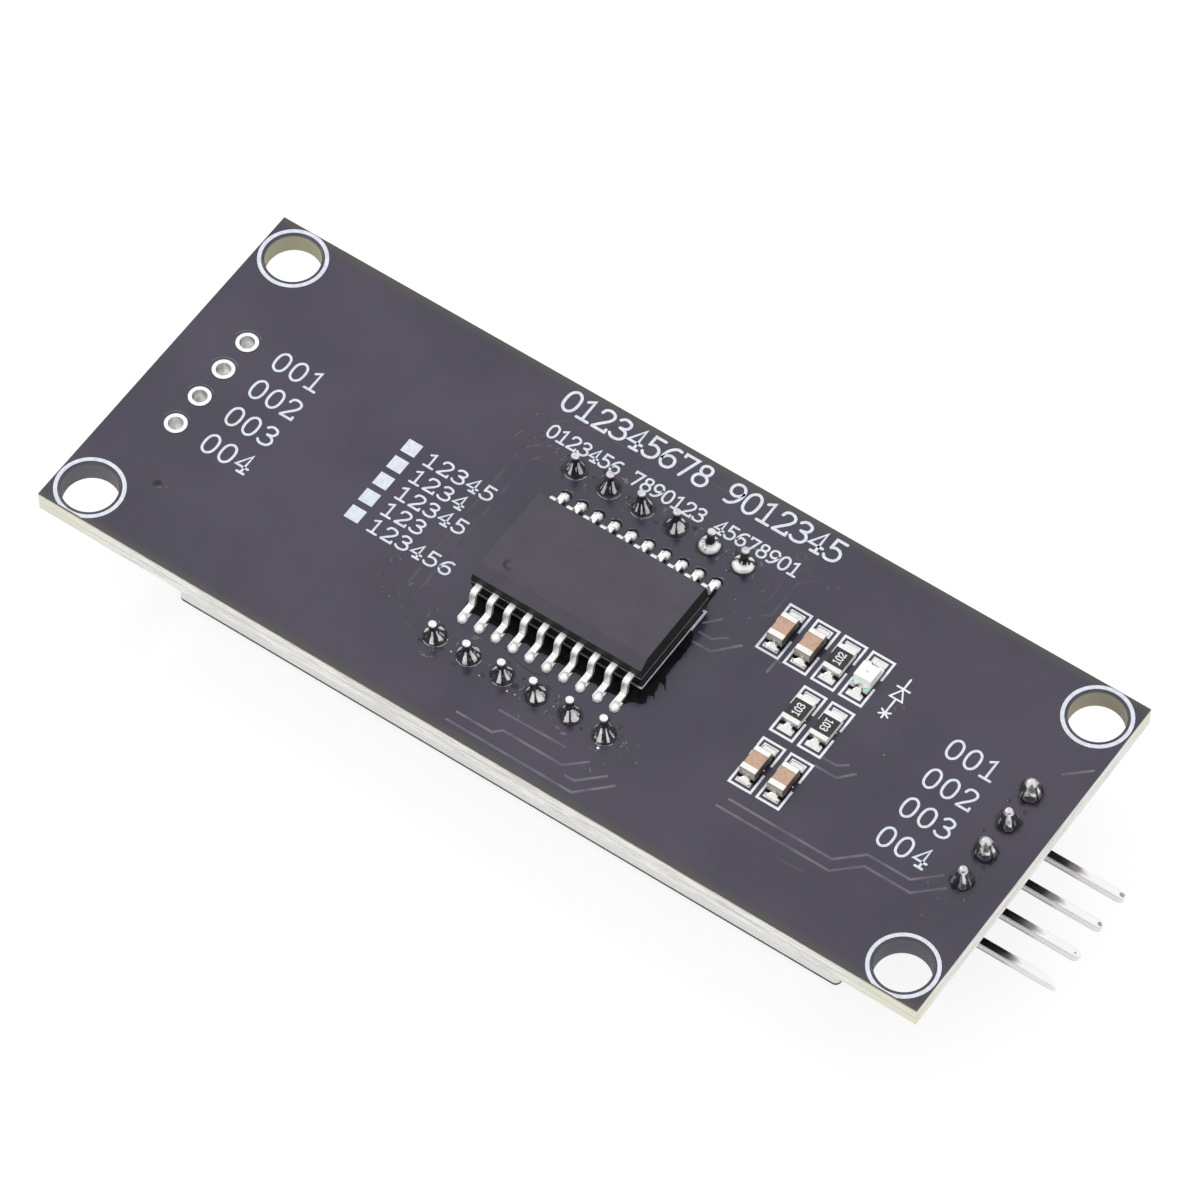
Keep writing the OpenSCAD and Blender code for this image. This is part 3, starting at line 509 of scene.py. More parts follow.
def header_pin_finish():
    """Square plated wire, with a painted dark reflection and shade on its top towards the board, and duller
    sides with painted shade that darkens towards their bottom.
    """
    finish = Finish("header_pin")
    x, y, z = (finish.axis(i) for i in range(3))
    upper = finish.step(finish.facing(2), 0.75, 0.95)
    lane = finish.math("PINGPONG", finish.math("SUBTRACT", y, HEADER_Y[0]), PITCH / 2)
    reach = finish.math("ADD", x, finish.math("MULTIPLY", lane, 1.3))
    reach = finish.math("ADD", reach, finish.math("MULTIPLY", finish.noise(2.5, 2.0), 0.5))
    # Painted reflection and shade: the top is dark next to the board and turns bright further out.
    bright = finish.step(reach, BOARD_END + 1.3, BOARD_END + 2.3)
    out = finish.step(x, BOARD_END, BOARD_END + 2.0)
    painted_reflection = finish.blend(out, (0.19, 0.175, 0.17), (0.32, 0.30, 0.30))
    top = finish.blend(bright, painted_reflection, (0.94, 0.925, 0.91))
    # Painted shade: the sides darken towards their bottom.
    rise = finish.step(z, HEADER_Z - 0.3, HEADER_Z + 0.25)
    side = finish.blend(rise, (0.30, 0.29, 0.29), (0.78, 0.76, 0.75))
    side = finish.blend(finish.math("MULTIPLY", bright, 0.75), side, (0.92, 0.91, 0.91))
    finish.paint(finish.blend(upper, side, top))
    finish.tree.links.new(finish.math("ADD", finish.math("MULTIPLY", upper, 0.75), 0.25),
                          finish.shader.inputs["Metallic"])
    finish.roughen(finish.noise(1.5, 2.0, (0.3, 1.0, 1.0)), 0.12, 0.24)
    finish.bump((finish.noise(2.5, 3.0, (0.2, 1.0, 1.0)), 0.002))
    return finish.material


def ink_finish():
    """White legend ink, with painted shade where it runs under the near leads."""
    finish = Finish("white_ink")
    x, y = finish.axis(0), finish.axis(1)
    # Painted shade: the ink is darkened under the near leads, where the chip's shade falls.
    under = finish.math("ABSOLUTE", finish.math("SUBTRACT", y, CHIP_LINE_Y))
    darkening = finish.math("MULTIPLY", finish.step(under, 0.2, 0.1), finish.step(x, 6.2, 5.9))
    darkening = finish.math("MULTIPLY", darkening, finish.math("LESS_THAN", finish.math("ABSOLUTE", x), 6.3))
    cloud = finish.step(finish.noise(3.0, 4.0, rough=0.6), 0.35, 0.65)
    lighter_part = finish.blend(cloud, (0.62, 0.66, 0.73), (0.74, 0.78, 0.86))
    frames = finish.math("MULTIPLY", finish.step(x, 12.0, 12.4), finish.step(x, 22.4, 22.0))
    lighter_part = finish.blend(frames, lighter_part, finish.blend(cloud, (0.78, 0.78, 0.84), (0.88, 0.88, 0.93)))
    finish.paint(finish.blend(finish.math("MULTIPLY", darkening, 0.7), lighter_part, (0.03, 0.03, 0.035)))
    finish.roughen(finish.noise(6.0), 0.5, 0.65)
    finish.bump((finish.noise(18.0, 2.0), 0.006))
    return finish.material


def barrel_finish():
    """Bright tinned pads round a darker plated barrel."""
    finish = Finish("tinned_barrel", Metallic=1.0)
    wall = finish.step(finish.facing(2), 0.6, 0.3)
    worn = finish.step(finish.noise(2.0, 3.0), 0.5, 0.8, 0.0, 0.6)
    pad = finish.blend(worn, (0.95, 0.94, 0.96), (0.8, 0.79, 0.8))
    patches = finish.step(finish.noise(1.2, 2.0), 0.4, 0.6)
    barrel = finish.blend(patches, (0.52, 0.51, 0.51), (0.74, 0.73, 0.72))
    finish.paint(finish.blend(wall, pad, barrel))
    finish.roughen(finish.noise(2.6), 0.22, 0.36)
    finish.bump((finish.noise(6.0, 3.0), 0.006))
    return finish.material


def plain_finish(name, dark, light, low, high, grain=1.5, bumps=0.004, **values):
    """A moulded, glazed or printed surface whose tone wanders between two close colours."""
    finish = Finish(name, **values)
    finish.paint(finish.blend(finish.step(finish.noise(grain, 4.0, rough=0.6), 0.35, 0.65), dark, light))
    finish.roughen(finish.noise(grain * 2, 2.0), low, high)
    finish.bump((finish.noise(grain * 6, 2.0), bumps))
    return finish.material


def chip_finish():
    """Matte moulding compound with painted shade on its sides, a thin lighter parting line round the sides
    that is a painted highlight, and painted shade in the lower part of the dimple's rim.
    """
    finish = Finish("chip_mould", Specular_IOR_Level=0.5)
    z = finish.axis(2)
    side = finish.step(finish.facing(2), 0.9, 0.6)
    line = finish.math("ABSOLUTE", finish.math("SUBTRACT", z, (CHIP_LOW.z + CHIP_HIGH.z) / 2))
    cloud = finish.step(finish.noise(0.5, 4.0), 0.3, 0.7)
    tone = finish.blend(cloud, (0.050, 0.044, 0.062), (0.058, 0.052, 0.072))
    # Painted shade: the sides of the same compound are painted nearly black.
    tone = finish.blend(side, tone, (0.012, 0.011, 0.011))
    # Painted highlight: a lighter line round the sides at the parting line.
    seam = finish.math("MULTIPLY", finish.step(line, 0.05, 0.02), side)
    tone = finish.blend(finish.math("MULTIPLY", seam, 0.9), tone, (0.42, 0.41, 0.39))
    off_x = finish.math("SUBTRACT", finish.axis(0), CHIP_LOW.x + DIMPLE_INSET)
    off_y = finish.math("SUBTRACT", finish.axis(1), CHIP_LOW.y + DIMPLE_INSET)
    away = finish.math("SQRT", finish.math("ADD", finish.math("MULTIPLY", off_x, off_x),
                                           finish.math("MULTIPLY", off_y, off_y)))
    # Painted shade in the lower part of the dimple's rim.
    lower = finish.step(finish.math("ADD", off_x, off_y), 0.25, -0.45)
    rim = finish.step(finish.math("ABSOLUTE", finish.math("SUBTRACT", away, 0.34)), 0.17, 0.04)
    finish.paint(finish.blend(finish.math("MULTIPLY", rim, lower), tone, (0.022, 0.019, 0.028)))
    finish.roughen(finish.noise(9.0, 2.0), 0.5, 0.62)
    finish.bump((finish.noise(14.0, 3.0), 0.004), (finish.noise(0.5, 2.0), 0.006))
    return finish.material


def tan_finish():
    """Tan ceramic with painted shade on its sides."""
    finish = Finish("tan_ceramic")
    tone = finish.blend(finish.step(finish.noise(5.0, 4.0, rough=0.6), 0.35, 0.65),
                        (0.49, 0.31, 0.22), (0.57, 0.375, 0.275))
    # Painted shade: the sides of the same ceramic are painted dark.
    side = finish.step(finish.facing(2), 0.75, 0.35)
    finish.paint(finish.blend(finish.math("MULTIPLY", side, 0.92), tone, (0.085, 0.052, 0.038)))
    finish.roughen(finish.noise(10.0, 2.0), 0.35, 0.5)
    finish.bump((finish.noise(30.0, 2.0), 0.01))
    return finish.material


def cap_end_finish():
    """Tinned end cap, bright on top, with painted shade on its rounded rim and on the sides that face along
    X, and darker cream end faces.
    """
    finish = Finish("cap_end", Metallic=0.6)
    patches = finish.step(finish.noise(3.0, 3.0), 0.5, 0.8, 0.0, 0.6)
    tone = finish.blend(patches, (0.90, 0.89, 0.87), (0.72, 0.69, 0.64))
    # Painted shade on the rounded rim between the top and the sides.
    rim = finish.step(finish.facing(2), 0.93, 0.6)
    tone = finish.blend(rim, tone, (0.34, 0.29, 0.22))
    # Painted shade: the sides that face along X are painted nearly black, and the end faces a darker cream.
    side = finish.step(finish.facing(2), 0.6, 0.25)
    face = finish.blend(finish.step(finish.facing(0), 0.4, 0.7), (0.62, 0.57, 0.47), (0.10, 0.09, 0.08))
    finish.paint(finish.blend(side, tone, face))
    finish.roughen(finish.noise(5.0, 2.0), 0.3, 0.45)
    finish.bump((finish.noise(9.0, 3.0), 0.01))
    return finish.material


def lens_finish():
    """Clear resin over the light's die."""
    finish = Finish("light_lens", IOR=1.5)
    die = middle("status_light_die")
    off_x = finish.math("SUBTRACT", finish.axis(0), die.x)
    off_y = finish.math("SUBTRACT", finish.axis(1), die.y)
    squared = finish.math("ADD", finish.math("POWER", off_x, 2.0), finish.math("POWER", off_y, 2.0))
    away = finish.math("SQRT", squared)
    resin = finish.blend(finish.noise(1.2), (0.93, 0.95, 0.93), (0.97, 0.98, 0.97))
    finish.paint(finish.blend(finish.step(away, 0.14, 0.05, 0.0, 0.6), resin, (0.40, 0.42, 0.42)))
    finish.roughen(finish.noise(2.0), 0.12, 0.2)
    finish.bump((finish.noise(1.5), 0.01))
    return finish.material


def case_finish():
    """Pale moulded plastic with fine texture and faint flow lines."""
    finish = Finish("case_plastic", Specular_IOR_Level=0.4)
    flow = finish.noise(0.25, 3.0, (1.0, 1.0, 4.0))
    finish.paint(finish.blend(finish.step(flow, 0.35, 0.65), (0.88, 0.87, 0.85), (0.91, 0.90, 0.88)))
    finish.roughen(finish.noise(1.0), 0.42, 0.55)
    finish.bump((finish.noise(6.0, 3.0), 0.008))
    return finish.material


def flux_finish():
    """Dried flux: a dark glassy film."""
    finish = Finish("flux", Specular_IOR_Level=0.45)
    finish.paint(finish.blend(finish.step(finish.noise(1.6, 3.0), 0.4, 0.62), (0.012, 0.011, 0.013),
                              (0.045, 0.040, 0.050)))
    finish.roughen(finish.noise(2.5), 0.05, 0.16)
    finish.bump((finish.noise(1.8, 3.0), 0.05), (finish.noise(6.0, 2.0), 0.01))
    return finish.material


FINISHES = {
    "mask": board_finish(),
    "ridge": ridge_finish(),
    "mask_swell": swell_finish(),
    "tin": metal_finish("tinned_copper", (0.93, 0.93, 0.92), 0.18, 0.34, bumps=0.006),
    "solder": metal_finish("solder", (0.88, 0.87, 0.86), 0.07, 0.16, darkening=(0.62, 0.60, 0.58), bumps=0.012),
    "lead": metal_finish("lead_metal", (0.97, 0.97, 0.96), 0.34, 0.46, 1.5, (0.85, 0.84, 0.82), 0.006, 0.7),
    "end": metal_finish("end_metal", (0.88, 0.87, 0.85), 0.3, 0.45, 3.0, (0.7, 0.68, 0.65), 0.01),
    "die": metal_finish("die_metal", (0.80, 0.66, 0.36), 0.25, 0.4, 4.0, (0.5, 0.4, 0.25), 0.003),
    "ink": ink_finish(),
    "joint": joint_finish("joint_solder", (0.98, 0.97, 0.98), (0.75, 0.73, 0.73), 0.35, (0.13, 0.12, 0.13)),
    "header_joint": joint_finish(
        "header_joint_solder", (0.74, 0.73, 0.73), (0.34, 0.33, 0.33), 1.0, (0.06, 0.06, 0.06)
    ),
    "header_pin": header_pin_finish(),
    "barrel": barrel_finish(),
    "burr": metal_finish("cropped_end", (0.46, 0.44, 0.44), 0.3, 0.5, 6.0, (0.2, 0.19, 0.19), 0.02),
    "display_pin": display_pin_finish(),
    "tan": tan_finish(),
    "cap_end": cap_end_finish(),
    "white_ceramic": plain_finish(
        "white_ceramic", (0.78, 0.78, 0.76), (0.87, 0.87, 0.85), 0.45, 0.6, 4.0, 0.008
    ),
    "glaze": plain_finish("dark_glaze", (0.016, 0.015, 0.017), (0.028, 0.026, 0.028), 0.22, 0.36, 2.0, 0.004),
    "light_base": plain_finish("light_base", (0.80, 0.80, 0.77), (0.88, 0.88, 0.85), 0.4, 0.55, 3.0, 0.006),
    "black": plain_finish(
        "black_moulding", (0.012, 0.012, 0.013), (0.024, 0.024, 0.025), 0.4, 0.55, 1.5, 0.01
    ),
    "front": plain_finish("front_ink", (0.012, 0.012, 0.014), (0.02, 0.02, 0.023), 0.5, 0.62, 2.0, 0.006),
    "resin": plain_finish("segment_resin", (0.73, 0.74, 0.71), (0.78, 0.79, 0.755), 0.22, 0.34, 0.8, 0.01),
    "laminate": plain_finish(
        "carrier_laminate", (0.05, 0.16, 0.07), (0.09, 0.25, 0.12), 0.25, 0.4, 0.8, 0.01
    ),
    "potting": plain_finish("potting_resin", (0.46, 0.44, 0.37), (0.60, 0.58, 0.50), 0.18, 0.34, 0.5, 0.05),
    "mark": plain_finish("light_mark", (0.10, 0.42, 0.32), (0.45, 0.72, 0.62), 0.3, 0.45, 4.0, 0.004),
    "haze": plain_finish("flux_haze", (0.04, 0.037, 0.046), (0.17, 0.165, 0.18), 0.3, 0.5, 2.5, 0.02),
    "chip": chip_finish(),
    "lens": lens_finish(),
    "case": case_finish(),
    "flux": flux_finish(),
    # A near-black sheet that paints shade round the chip's leads and beside the small parts' fillets.
    "pitch": plain_finish("painted_shade_sheet", (0.002, 0.002, 0.002), (0.006, 0.005, 0.006), 0.3, 0.5, 1.5, 0.02,
                          Specular_IOR_Level=0.12),
}

NODE_FINISHES = {
    "circuit_board": "mask", "spare_hole_pads": "barrel", "header_hole_pads": "flux",
    "display_hole_pads": "flux", "chip_lands": "tin", "small_part_lands": "tin",
    "white_print": "ink", "chip_body": "chip", "chip_leads_near": "lead", "chip_leads_far": "lead",
    "chip_solder": "solder", "small_part_solder": "solder", "status_light_base": "light_base",
    "status_light_lens": "lens", "status_light_die": "die", "status_light_ends": "end",
    "header_insulator": "black", "header_solder": "solder", "display_case": "case",
    "display_front": "front", "colon_dots": "resin", "display_carrier": "laminate",
    "display_dies": "die", "display_potting": "potting", "display_pins_near": "display_pin",
    "display_pins_far": "display_pin", "display_solder": "solder",
}
NODE_FINISHES.update({f"{name}_block": "tan" for name in CAPACITORS})
NODE_FINISHES.update({f"{name}_ends": "cap_end" for name in CAPACITORS})
NODE_FINISHES.update({f"{name}_ends": "end" for name in RESISTORS})
NODE_FINISHES.update({f"{name}_base": "white_ceramic" for name in RESISTORS})
NODE_FINISHES.update({f"{name}_cover": "glaze" for name in RESISTORS})
NODE_FINISHES.update({name: "header_pin" for name in HEADER_PINS})
NODE_FINISHES.update({f"digit_{i}_segments": "resin" for i in range(1, 5)})


def finish_nodes():
    """Gives every CAD node its finish."""
    for name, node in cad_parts.items():
        node.data.materials.clear()
        node.data.materials.append(FINISHES[NODE_FINISHES[name]])


# Printed numbers

# Strokes of each sign, one unit high: lines are straight, curves smooth, loops smooth and closed.
SIGNS = {
    "0": (("loop", ((0.31, 1), (0.52, 0.85), (0.58, 0.5), (0.52, 0.15), (0.31, 0), (0.1, 0.15),
                    (0.04, 0.5), (0.1, 0.85))),),
    "1": (("line", ((0.1, 0.84), (0.32, 1), (0.32, 0))), ("line", ((0.08, 0), (0.56, 0)))),
    "2": (("curve", ((0.06, 0.76), (0.13, 0.94), (0.31, 1), (0.5, 0.92), (0.56, 0.74), (0.46, 0.52),
                     (0.24, 0.26), (0.05, 0.02))),
          ("line", ((0.05, 0), (0.58, 0), (0.58, 0.14)))),
    "3": (("curve", ((0.08, 0.86), (0.18, 0.97), (0.32, 1), (0.5, 0.92), (0.54, 0.76), (0.45, 0.6),
                     (0.24, 0.54))),
          ("curve", ((0.24, 0.54), (0.48, 0.48), (0.59, 0.28), (0.5, 0.07), (0.3, 0), (0.13, 0.03),
                     (0.03, 0.13)))),
    "4": (("line", ((0.43, 0), (0.43, 1), (0.03, 0.3), (0.6, 0.3))), ("line", ((0.26, 0), (0.58, 0)))),
    "5": (("line", ((0.54, 1), (0.13, 1), (0.11, 0.55))),
          ("curve", ((0.11, 0.55), (0.3, 0.63), (0.5, 0.54), (0.58, 0.33), (0.5, 0.09), (0.29, 0),
                     (0.12, 0.03), (0.03, 0.14)))),
    "6": (("curve", ((0.54, 0.96), (0.36, 0.97), (0.17, 0.8), (0.06, 0.52), (0.06, 0.24), (0.17, 0.05),
                     (0.33, 0), (0.5, 0.07), (0.58, 0.27), (0.52, 0.49), (0.34, 0.57), (0.17, 0.5),
                     (0.06, 0.33))),),
    "7": (("line", ((0.05, 0.86), (0.05, 1), (0.57, 1), (0.27, 0))),),
    "8": (("loop", ((0.31, 1), (0.47, 0.94), (0.52, 0.78), (0.46, 0.61), (0.31, 0.54), (0.16, 0.61),
                    (0.1, 0.78), (0.15, 0.94))),
          ("loop", ((0.31, 0.54), (0.5, 0.47), (0.58, 0.28), (0.5, 0.07), (0.31, 0), (0.12, 0.07),
                    (0.04, 0.28), (0.12, 0.47)))),
    "9": (("curve", ((0.08, 0.04), (0.26, 0.03), (0.45, 0.2), (0.56, 0.48), (0.56, 0.76), (0.45, 0.95),
                     (0.29, 1), (0.12, 0.93), (0.04, 0.73), (0.1, 0.51), (0.28, 0.43), (0.45, 0.5),
                     (0.56, 0.67))),),
}
SIGN_WIDE = 0.62


def write(shape, text, x, y, height, pitch, stroke, low, turn=0.0, wide=1.1):
    """Prints digits from the point (x, y), at the pitch between signs and turned by an angle in degrees."""
    cos, sin = math.cos(math.radians(turn)), math.sin(math.radians(turn))
    for place, sign in enumerate(text):
        for level, (kind, points) in enumerate(SIGNS.get(sign, ())):
            line = []
            for u, v in points:
                a = (u * wide * height) + place * pitch
                b = v * height
                line.append((x + a * cos - b * sin, y + a * sin + b * cos))
            if kind != "line":
                line = spline(line, 4, kind == "loop")
            top = low + 0.026 + 0.003 * (level + place % 2)
            sweep(shape, line, stroke, low, top, loop=kind == "loop")


TITLE = ("012345678 9012345", -10.0, 10.95, 1.6, 1.245, 0.20)
SUBTITLE = ("0123456 7890123 45678901", -9.45, 8.68, 1.0, 0.795, 0.15)
COUNTS = ("12345", "1234", "12345", "123", "123456")
COUNT_X = -14.5
COUNT_YS = (2.96, 1.43, -0.1, -1.6, -3.1)
ROW_NUMBERS = ("001", "002", "003", "004")
SPARE_TEXT_X = -26.75
HEADER_TEXT_X = 24.15


def print_numbers():
    """Plain numbers in the places of the board's lettering."""
    shape = Shape()
    for text, x, y, height, pitch, stroke in (TITLE, SUBTITLE):
        write(shape, text, x, y, height, pitch, stroke, FACE_Z)
    for text, y in zip(COUNTS, COUNT_YS):
        write(shape, text, COUNT_X, y - 0.5, 1.02, 1.07, 0.15, FACE_Z, wide=1.35)
    for text, y in zip(ROW_NUMBERS, HEADER_Y):
        write(shape, text, SPARE_TEXT_X, y - 0.72, 1.45, 1.3, 0.17, FACE_Z)
        write(shape, text, HEADER_TEXT_X, y - 0.72, 1.45, 1.3, 0.17, FACE_Z)
    shape.piece("printed_numbers", FINISHES["ink"])


LIGHT_SIGN_X = 19.62
LIGHT_SIGN_Y = 5.2
STAR_Y = 3.5


def print_light_sign():
    """A diode sign and a star beside the status light."""
    shape = Shape()
    x, y = LIGHT_SIGN_X, LIGHT_SIGN_Y
    top = FACE_Z + 0.027
    sweep(shape, [(x, y - 1.25), (x, y - 0.5)], 0.13, FACE_Z, top)
    sweep(shape, [(x, y + 0.42), (x, y + 1.25)], 0.13, FACE_Z, top)
    triangle = [(x - 0.45, y - 0.45), (x + 0.45, y - 0.45), (x, y + 0.36)]
    sweep(shape, triangle, 0.13, FACE_Z, top + 0.003, loop=True)
    sweep(shape, [(x - 0.45, y + 0.42), (x + 0.45, y + 0.42)], 0.13, FACE_Z, top + 0.005)
    for i, turn in enumerate((90, 30, -30)):
        dx = 0.38 * math.cos(math.radians(turn))
        dy = 0.38 * math.sin(math.radians(turn))
        line = [(x - dx, STAR_Y - dy), (x + dx, STAR_Y + dy)]
        sweep(shape, line, 0.12, FACE_Z, top + 0.002 * i)
    shape.piece("printed_light_sign", FINISHES["ink"])


CODES = (("resistor_1", "102", 90), ("resistor_2", "103", 90), ("resistor_3", "103", -90))


def print_codes():
    """Value codes on the dark covers of the chip resistors, written along Y."""
    shape = Shape()
    height, pitch = 0.5, 0.31
    for name, text, turn in CODES:
        here = middle(f"{name}_cover")
        low = box_mm(f"{name}_cover")[1].z - 0.02
        sign = 1 if turn > 0 else -1
        x = here.x + sign * height / 2
        y = here.y - sign * (pitch + SIGN_WIDE * height * 0.5)
        write(shape, text, x, y, height, pitch, 0.075, low, turn, 0.85)
    shape.piece("resistor_codes", FINISHES["ink"])


# Tracks, vias and rims

TRACKS = (
    ((15.3, -7.1), (22.8, -7.1), (24.4, -5.6), (27.5, -5.6), (29.0, -4.2)),
    ((14.9, -7.9), (23.1, -7.9), (24.7, -6.4), (28.0, -6.4), (29.6, -4.9)),
    ((6.9, 1.95), (7.8, 1.95), (8.6, 2.6)),
    ((7.0, 1.15), (8.3, 1.15), (9.6, 2.6)),
    ((6.7, 2.65), (7.5, 3.5)),
    ((-2.0, -11.4), (0.6, -11.4), (1.1, -10.9), (5.5, -10.9), (6.7, -9.8)),
    ((6.1, -11.4), (6.75, -11.4), (8.2, -10.0)),
    ((-2.2, -12.2), (7.1, -12.2), (9.0, -10.3)),
    ((0.1, -9.8), (4.9, -9.7)),
    ((18.2, -1.35), (19.3, -1.35), (19.9, -0.9)),
    ((18.2, -2.1), (19.8, -2.1), (20.6, -1.2)),
    ((31.0, 6.0), (32.4, 7.3)),
    ((12.0, 1.9), (12.0, 2.9), (13.1, 3.1)),
)
VIAS = ((20.2, 4.3), (9.0, 10.2), (7.9, -7.8), (-11.6, -4.4), (-9.6, 8.4), (11.9, 9.4))
FAINT_TRACKS = (
    ((-9.9, 9.5), (-7.6, 11.6), (5.3, 11.6)),
    ((-8.5, 9.9), (-7.4, 10.75), (-4.5, 10.75)),
    ((-9.1, -6.0), (-9.1, 6.5), (-8.5, 7.4)),
    ((-10.0, -6.2), (-10.0, 7.0), (-8.9, 8.3)),
    ((8.9, 4.6), (9.9, 5.6), (9.9, 8.4), (11.4, 9.9)),
    ((8.1, 4.9), (9.1, 5.9), (9.1, 8.8), (10.6, 10.3)),
    ((19.4, -8.9), (21.9, -8.9)),
)
TRACK_RIDGE = 0.19
TRACK_HIGH = 0.022


def raise_tracks():
    """The raised edges of copper tracks, vias and drilled rims under the solder mask."""
    shape = Shape()
    for line in TRACKS:
        sweep(shape, line, TRACK_RIDGE, FACE_Z - SINK, FACE_Z + TRACK_HIGH, ROUND)
    for y in HEADER_Y:
        arc = circle(SPARE_X - 0.05, y, 0.96, 16, math.radians(50), math.radians(120))
        sweep(shape, arc, 0.07, FACE_Z - SINK, FACE_Z + 0.012, ROUND)
    shape.piece("mask_ridges", FINISHES["ridge"])
    faint = Shape()
    for x, y in VIAS:
        sweep(faint, circle(x, y, 0.3, 20), 0.12, FACE_Z - SINK, FACE_Z + 0.02, ROUND, True)
    for line in FAINT_TRACKS:
        sweep(faint, line, 0.2, FACE_Z - SINK, FACE_Z + 0.014, ROUND)
    for x in (-MOUNT_X, MOUNT_X):
        for y in MOUNT_YS:
            sweep(faint, circle(x, y, 1.93, 72), 0.09, FACE_Z - SINK, FACE_Z + 0.016, ROUND, True)
    faint.piece("mask_swells", FINISHES["mask_swell"])


# Solder and pins

# Flanks of the joints, from the board up: (height above the pad, radius).
TENT = ((0, 0.78), (0.06, 0.755), (0.14, 0.70), (0.26, 0.60), (0.38, 0.50), (0.5, 0.42), (0.64, 0.36),
        (0.82, 0.315), (1.02, 0.285), (1.24, 0.265), (1.4, 0.25))
BELL = ((0, 0.78), (0.07, 0.765), (0.18, 0.72), (0.32, 0.64), (0.46, 0.55), (0.6, 0.46), (0.74, 0.39),
        (0.9, 0.335), (1.06, 0.295), (1.26, 0.265), (1.4, 0.25))
SPIRE = ((0, 0.66), (0.06, 0.64), (0.14, 0.60), (0.28, 0.535), (0.44, 0.465), (0.6, 0.405), (0.78, 0.35),
         (0.96, 0.31), (1.12, 0.28), (1.28, 0.262), (1.4, 0.25))
BALL = ((0, 0.70), (0.05, 0.715), (0.12, 0.71), (0.21, 0.665), (0.28, 0.59), (0.34, 0.50), (0.40, 0.41),
        (0.50, 0.335), (0.68, 0.29), (0.9, 0.262), (1.1, 0.25))
EGG = ((0, 0.74), (0.05, 0.73), (0.14, 0.745), (0.32, 0.745), (0.52, 0.70), (0.72, 0.61), (0.9, 0.50),
       (1.05, 0.39), (1.16, 0.28), (1.24, 0.16))
FLASK = ((0, 0.74), (0.05, 0.73), (0.14, 0.71), (0.3, 0.66), (0.46, 0.60), (0.62, 0.53), (0.8, 0.445),
         (0.98, 0.365), (1.12, 0.30), (1.22, 0.245), (1.27, 0.17))
JOINT_LOW = PAD_Z - 0.02


JOINT_STEPS = 72


def joint(shape, x, y, flank, lean, rng, flutes, size, streaks, height=1.0):
    """A soldered joint round a pin, fluted below its neck and leaning by (x, y) at its top.

    Its streaks are painted highlights, each (direction, half width, highlight level, lowest, highest), with
    the angles in degrees and the heights as shares of its own.
    """
    waves = [(k, rng.uniform(0, 6.28), a) for k, a in ((3, 0.7), (5, 0.8), (9, 0.3))]
    line = spline(flank, 2)
    top = line[-1][0]
    neck = line[-1][1]
    rings = []
    painted_shine = []
    for z, radius in line:
        t = z / top
        depth = flutes * math.sin(math.pi * min(1.0, 0.12 + t)) ** 1.2
        ring = []
        for i in range(JOINT_STEPS):
            angle = 2 * math.pi * i / JOINT_STEPS
            wave = sum(a * math.cos(k * angle + p + 0.5 * t) for k, p, a in waves)
            r = neck + (radius * size - neck) * (1 + depth * wave * 2.2)
            ring.append((
                x + lean[0] * t + r * math.cos(angle),
                y + lean[1] * t + r * math.sin(angle),
                JOINT_LOW + z * height,
            ))
            best = 0.0
            for direction, half, level, lowest, highest in streaks:
                off = abs((math.degrees(angle) - direction + 180) % 360 - 180)
                side = min(1.0, max(0.0, 1.5 - off / half))
                inside = min(1.0, max(0.0, min(t - lowest, highest - t) / 0.12 + 0.5))
                best = max(best, level * side * inside)
            painted_shine.append(best)
        rings.append(ring)
    shape.loft(rings, painted_shine=painted_shine)


def pin(shape, x, y, foot, tip, lean):
    """A round wire pin that leans by (x, y) above the board, with a swollen rim and its end cut askew."""
    steps = 24
    rings = []
    for z, share in (
        (foot, 1), (PAD_Z, 1), ((PAD_Z + tip) / 2, 1), (tip - 0.22, 1), (tip - 0.12, 1.08),
        (tip - 0.04, 1.06), (tip, 0.86),
    ):
        t = max(0, (z - PAD_Z) / (tip - PAD_Z))
        skew = max(0, (z - tip + 0.22) / 0.22)
        ring = []
        for i in range(steps):
            angle = 2 * math.pi * i / steps
            ring.append((
                x + lean[0] * t + PIN_R * share * math.cos(angle),
                y + lean[1] * t + PIN_R * share * math.sin(angle),
                z - 0.035 * skew * (1 + math.cos(angle - 0.7)),
            ))
        rings.append(ring)
    shape.loft(rings)


# Painted highlights: bright streaks down the joints, as joint() takes them.
TWIN = ((-73, 12, 1.0, 0.0, 0.7), (-14, 15, 0.75, 0.1, 0.74), (20, 16, 0.45, 0.1, 0.55),
        (-40, 5, 0.35, 0.3, 0.6))
TWIN_WIDE = ((-76, 13, 1.0, 0.0, 0.55), (-22, 23, 1.0, 0.04, 0.62), (16, 16, 0.55, 0.1, 0.45))
TWIN_THIN = ((-82, 12, 1.0, 0.0, 0.66), (-32, 8, 0.75, 0.04, 0.66), (4, 9, 0.5, 0.06, 0.5),
             (-110, 12, 0.4, 0.1, 0.4))
SPLIT = ((-97, 11, 1.0, 0.04, 0.76), (-125, 8, 0.55, 0.1, 0.64), (-16, 15, 0.9, 0.08, 0.78),
         (-50, 6, 0.5, 0.1, 0.6))
SPLIT_RIGHT = ((-20, 13, 1.0, 0.0, 0.8), (-60, 7, 0.7, 0.08, 0.66), (-98, 10, 0.6, 0.08, 0.64),
               (-128, 8, 0.4, 0.1, 0.5))
LOW_RIGHT = ((-25, 60, 1.0, -0.1, 0.5), (-130, 60, 0.58, -0.1, 0.5), (90, 70, 0.4, -0.1, 0.34))
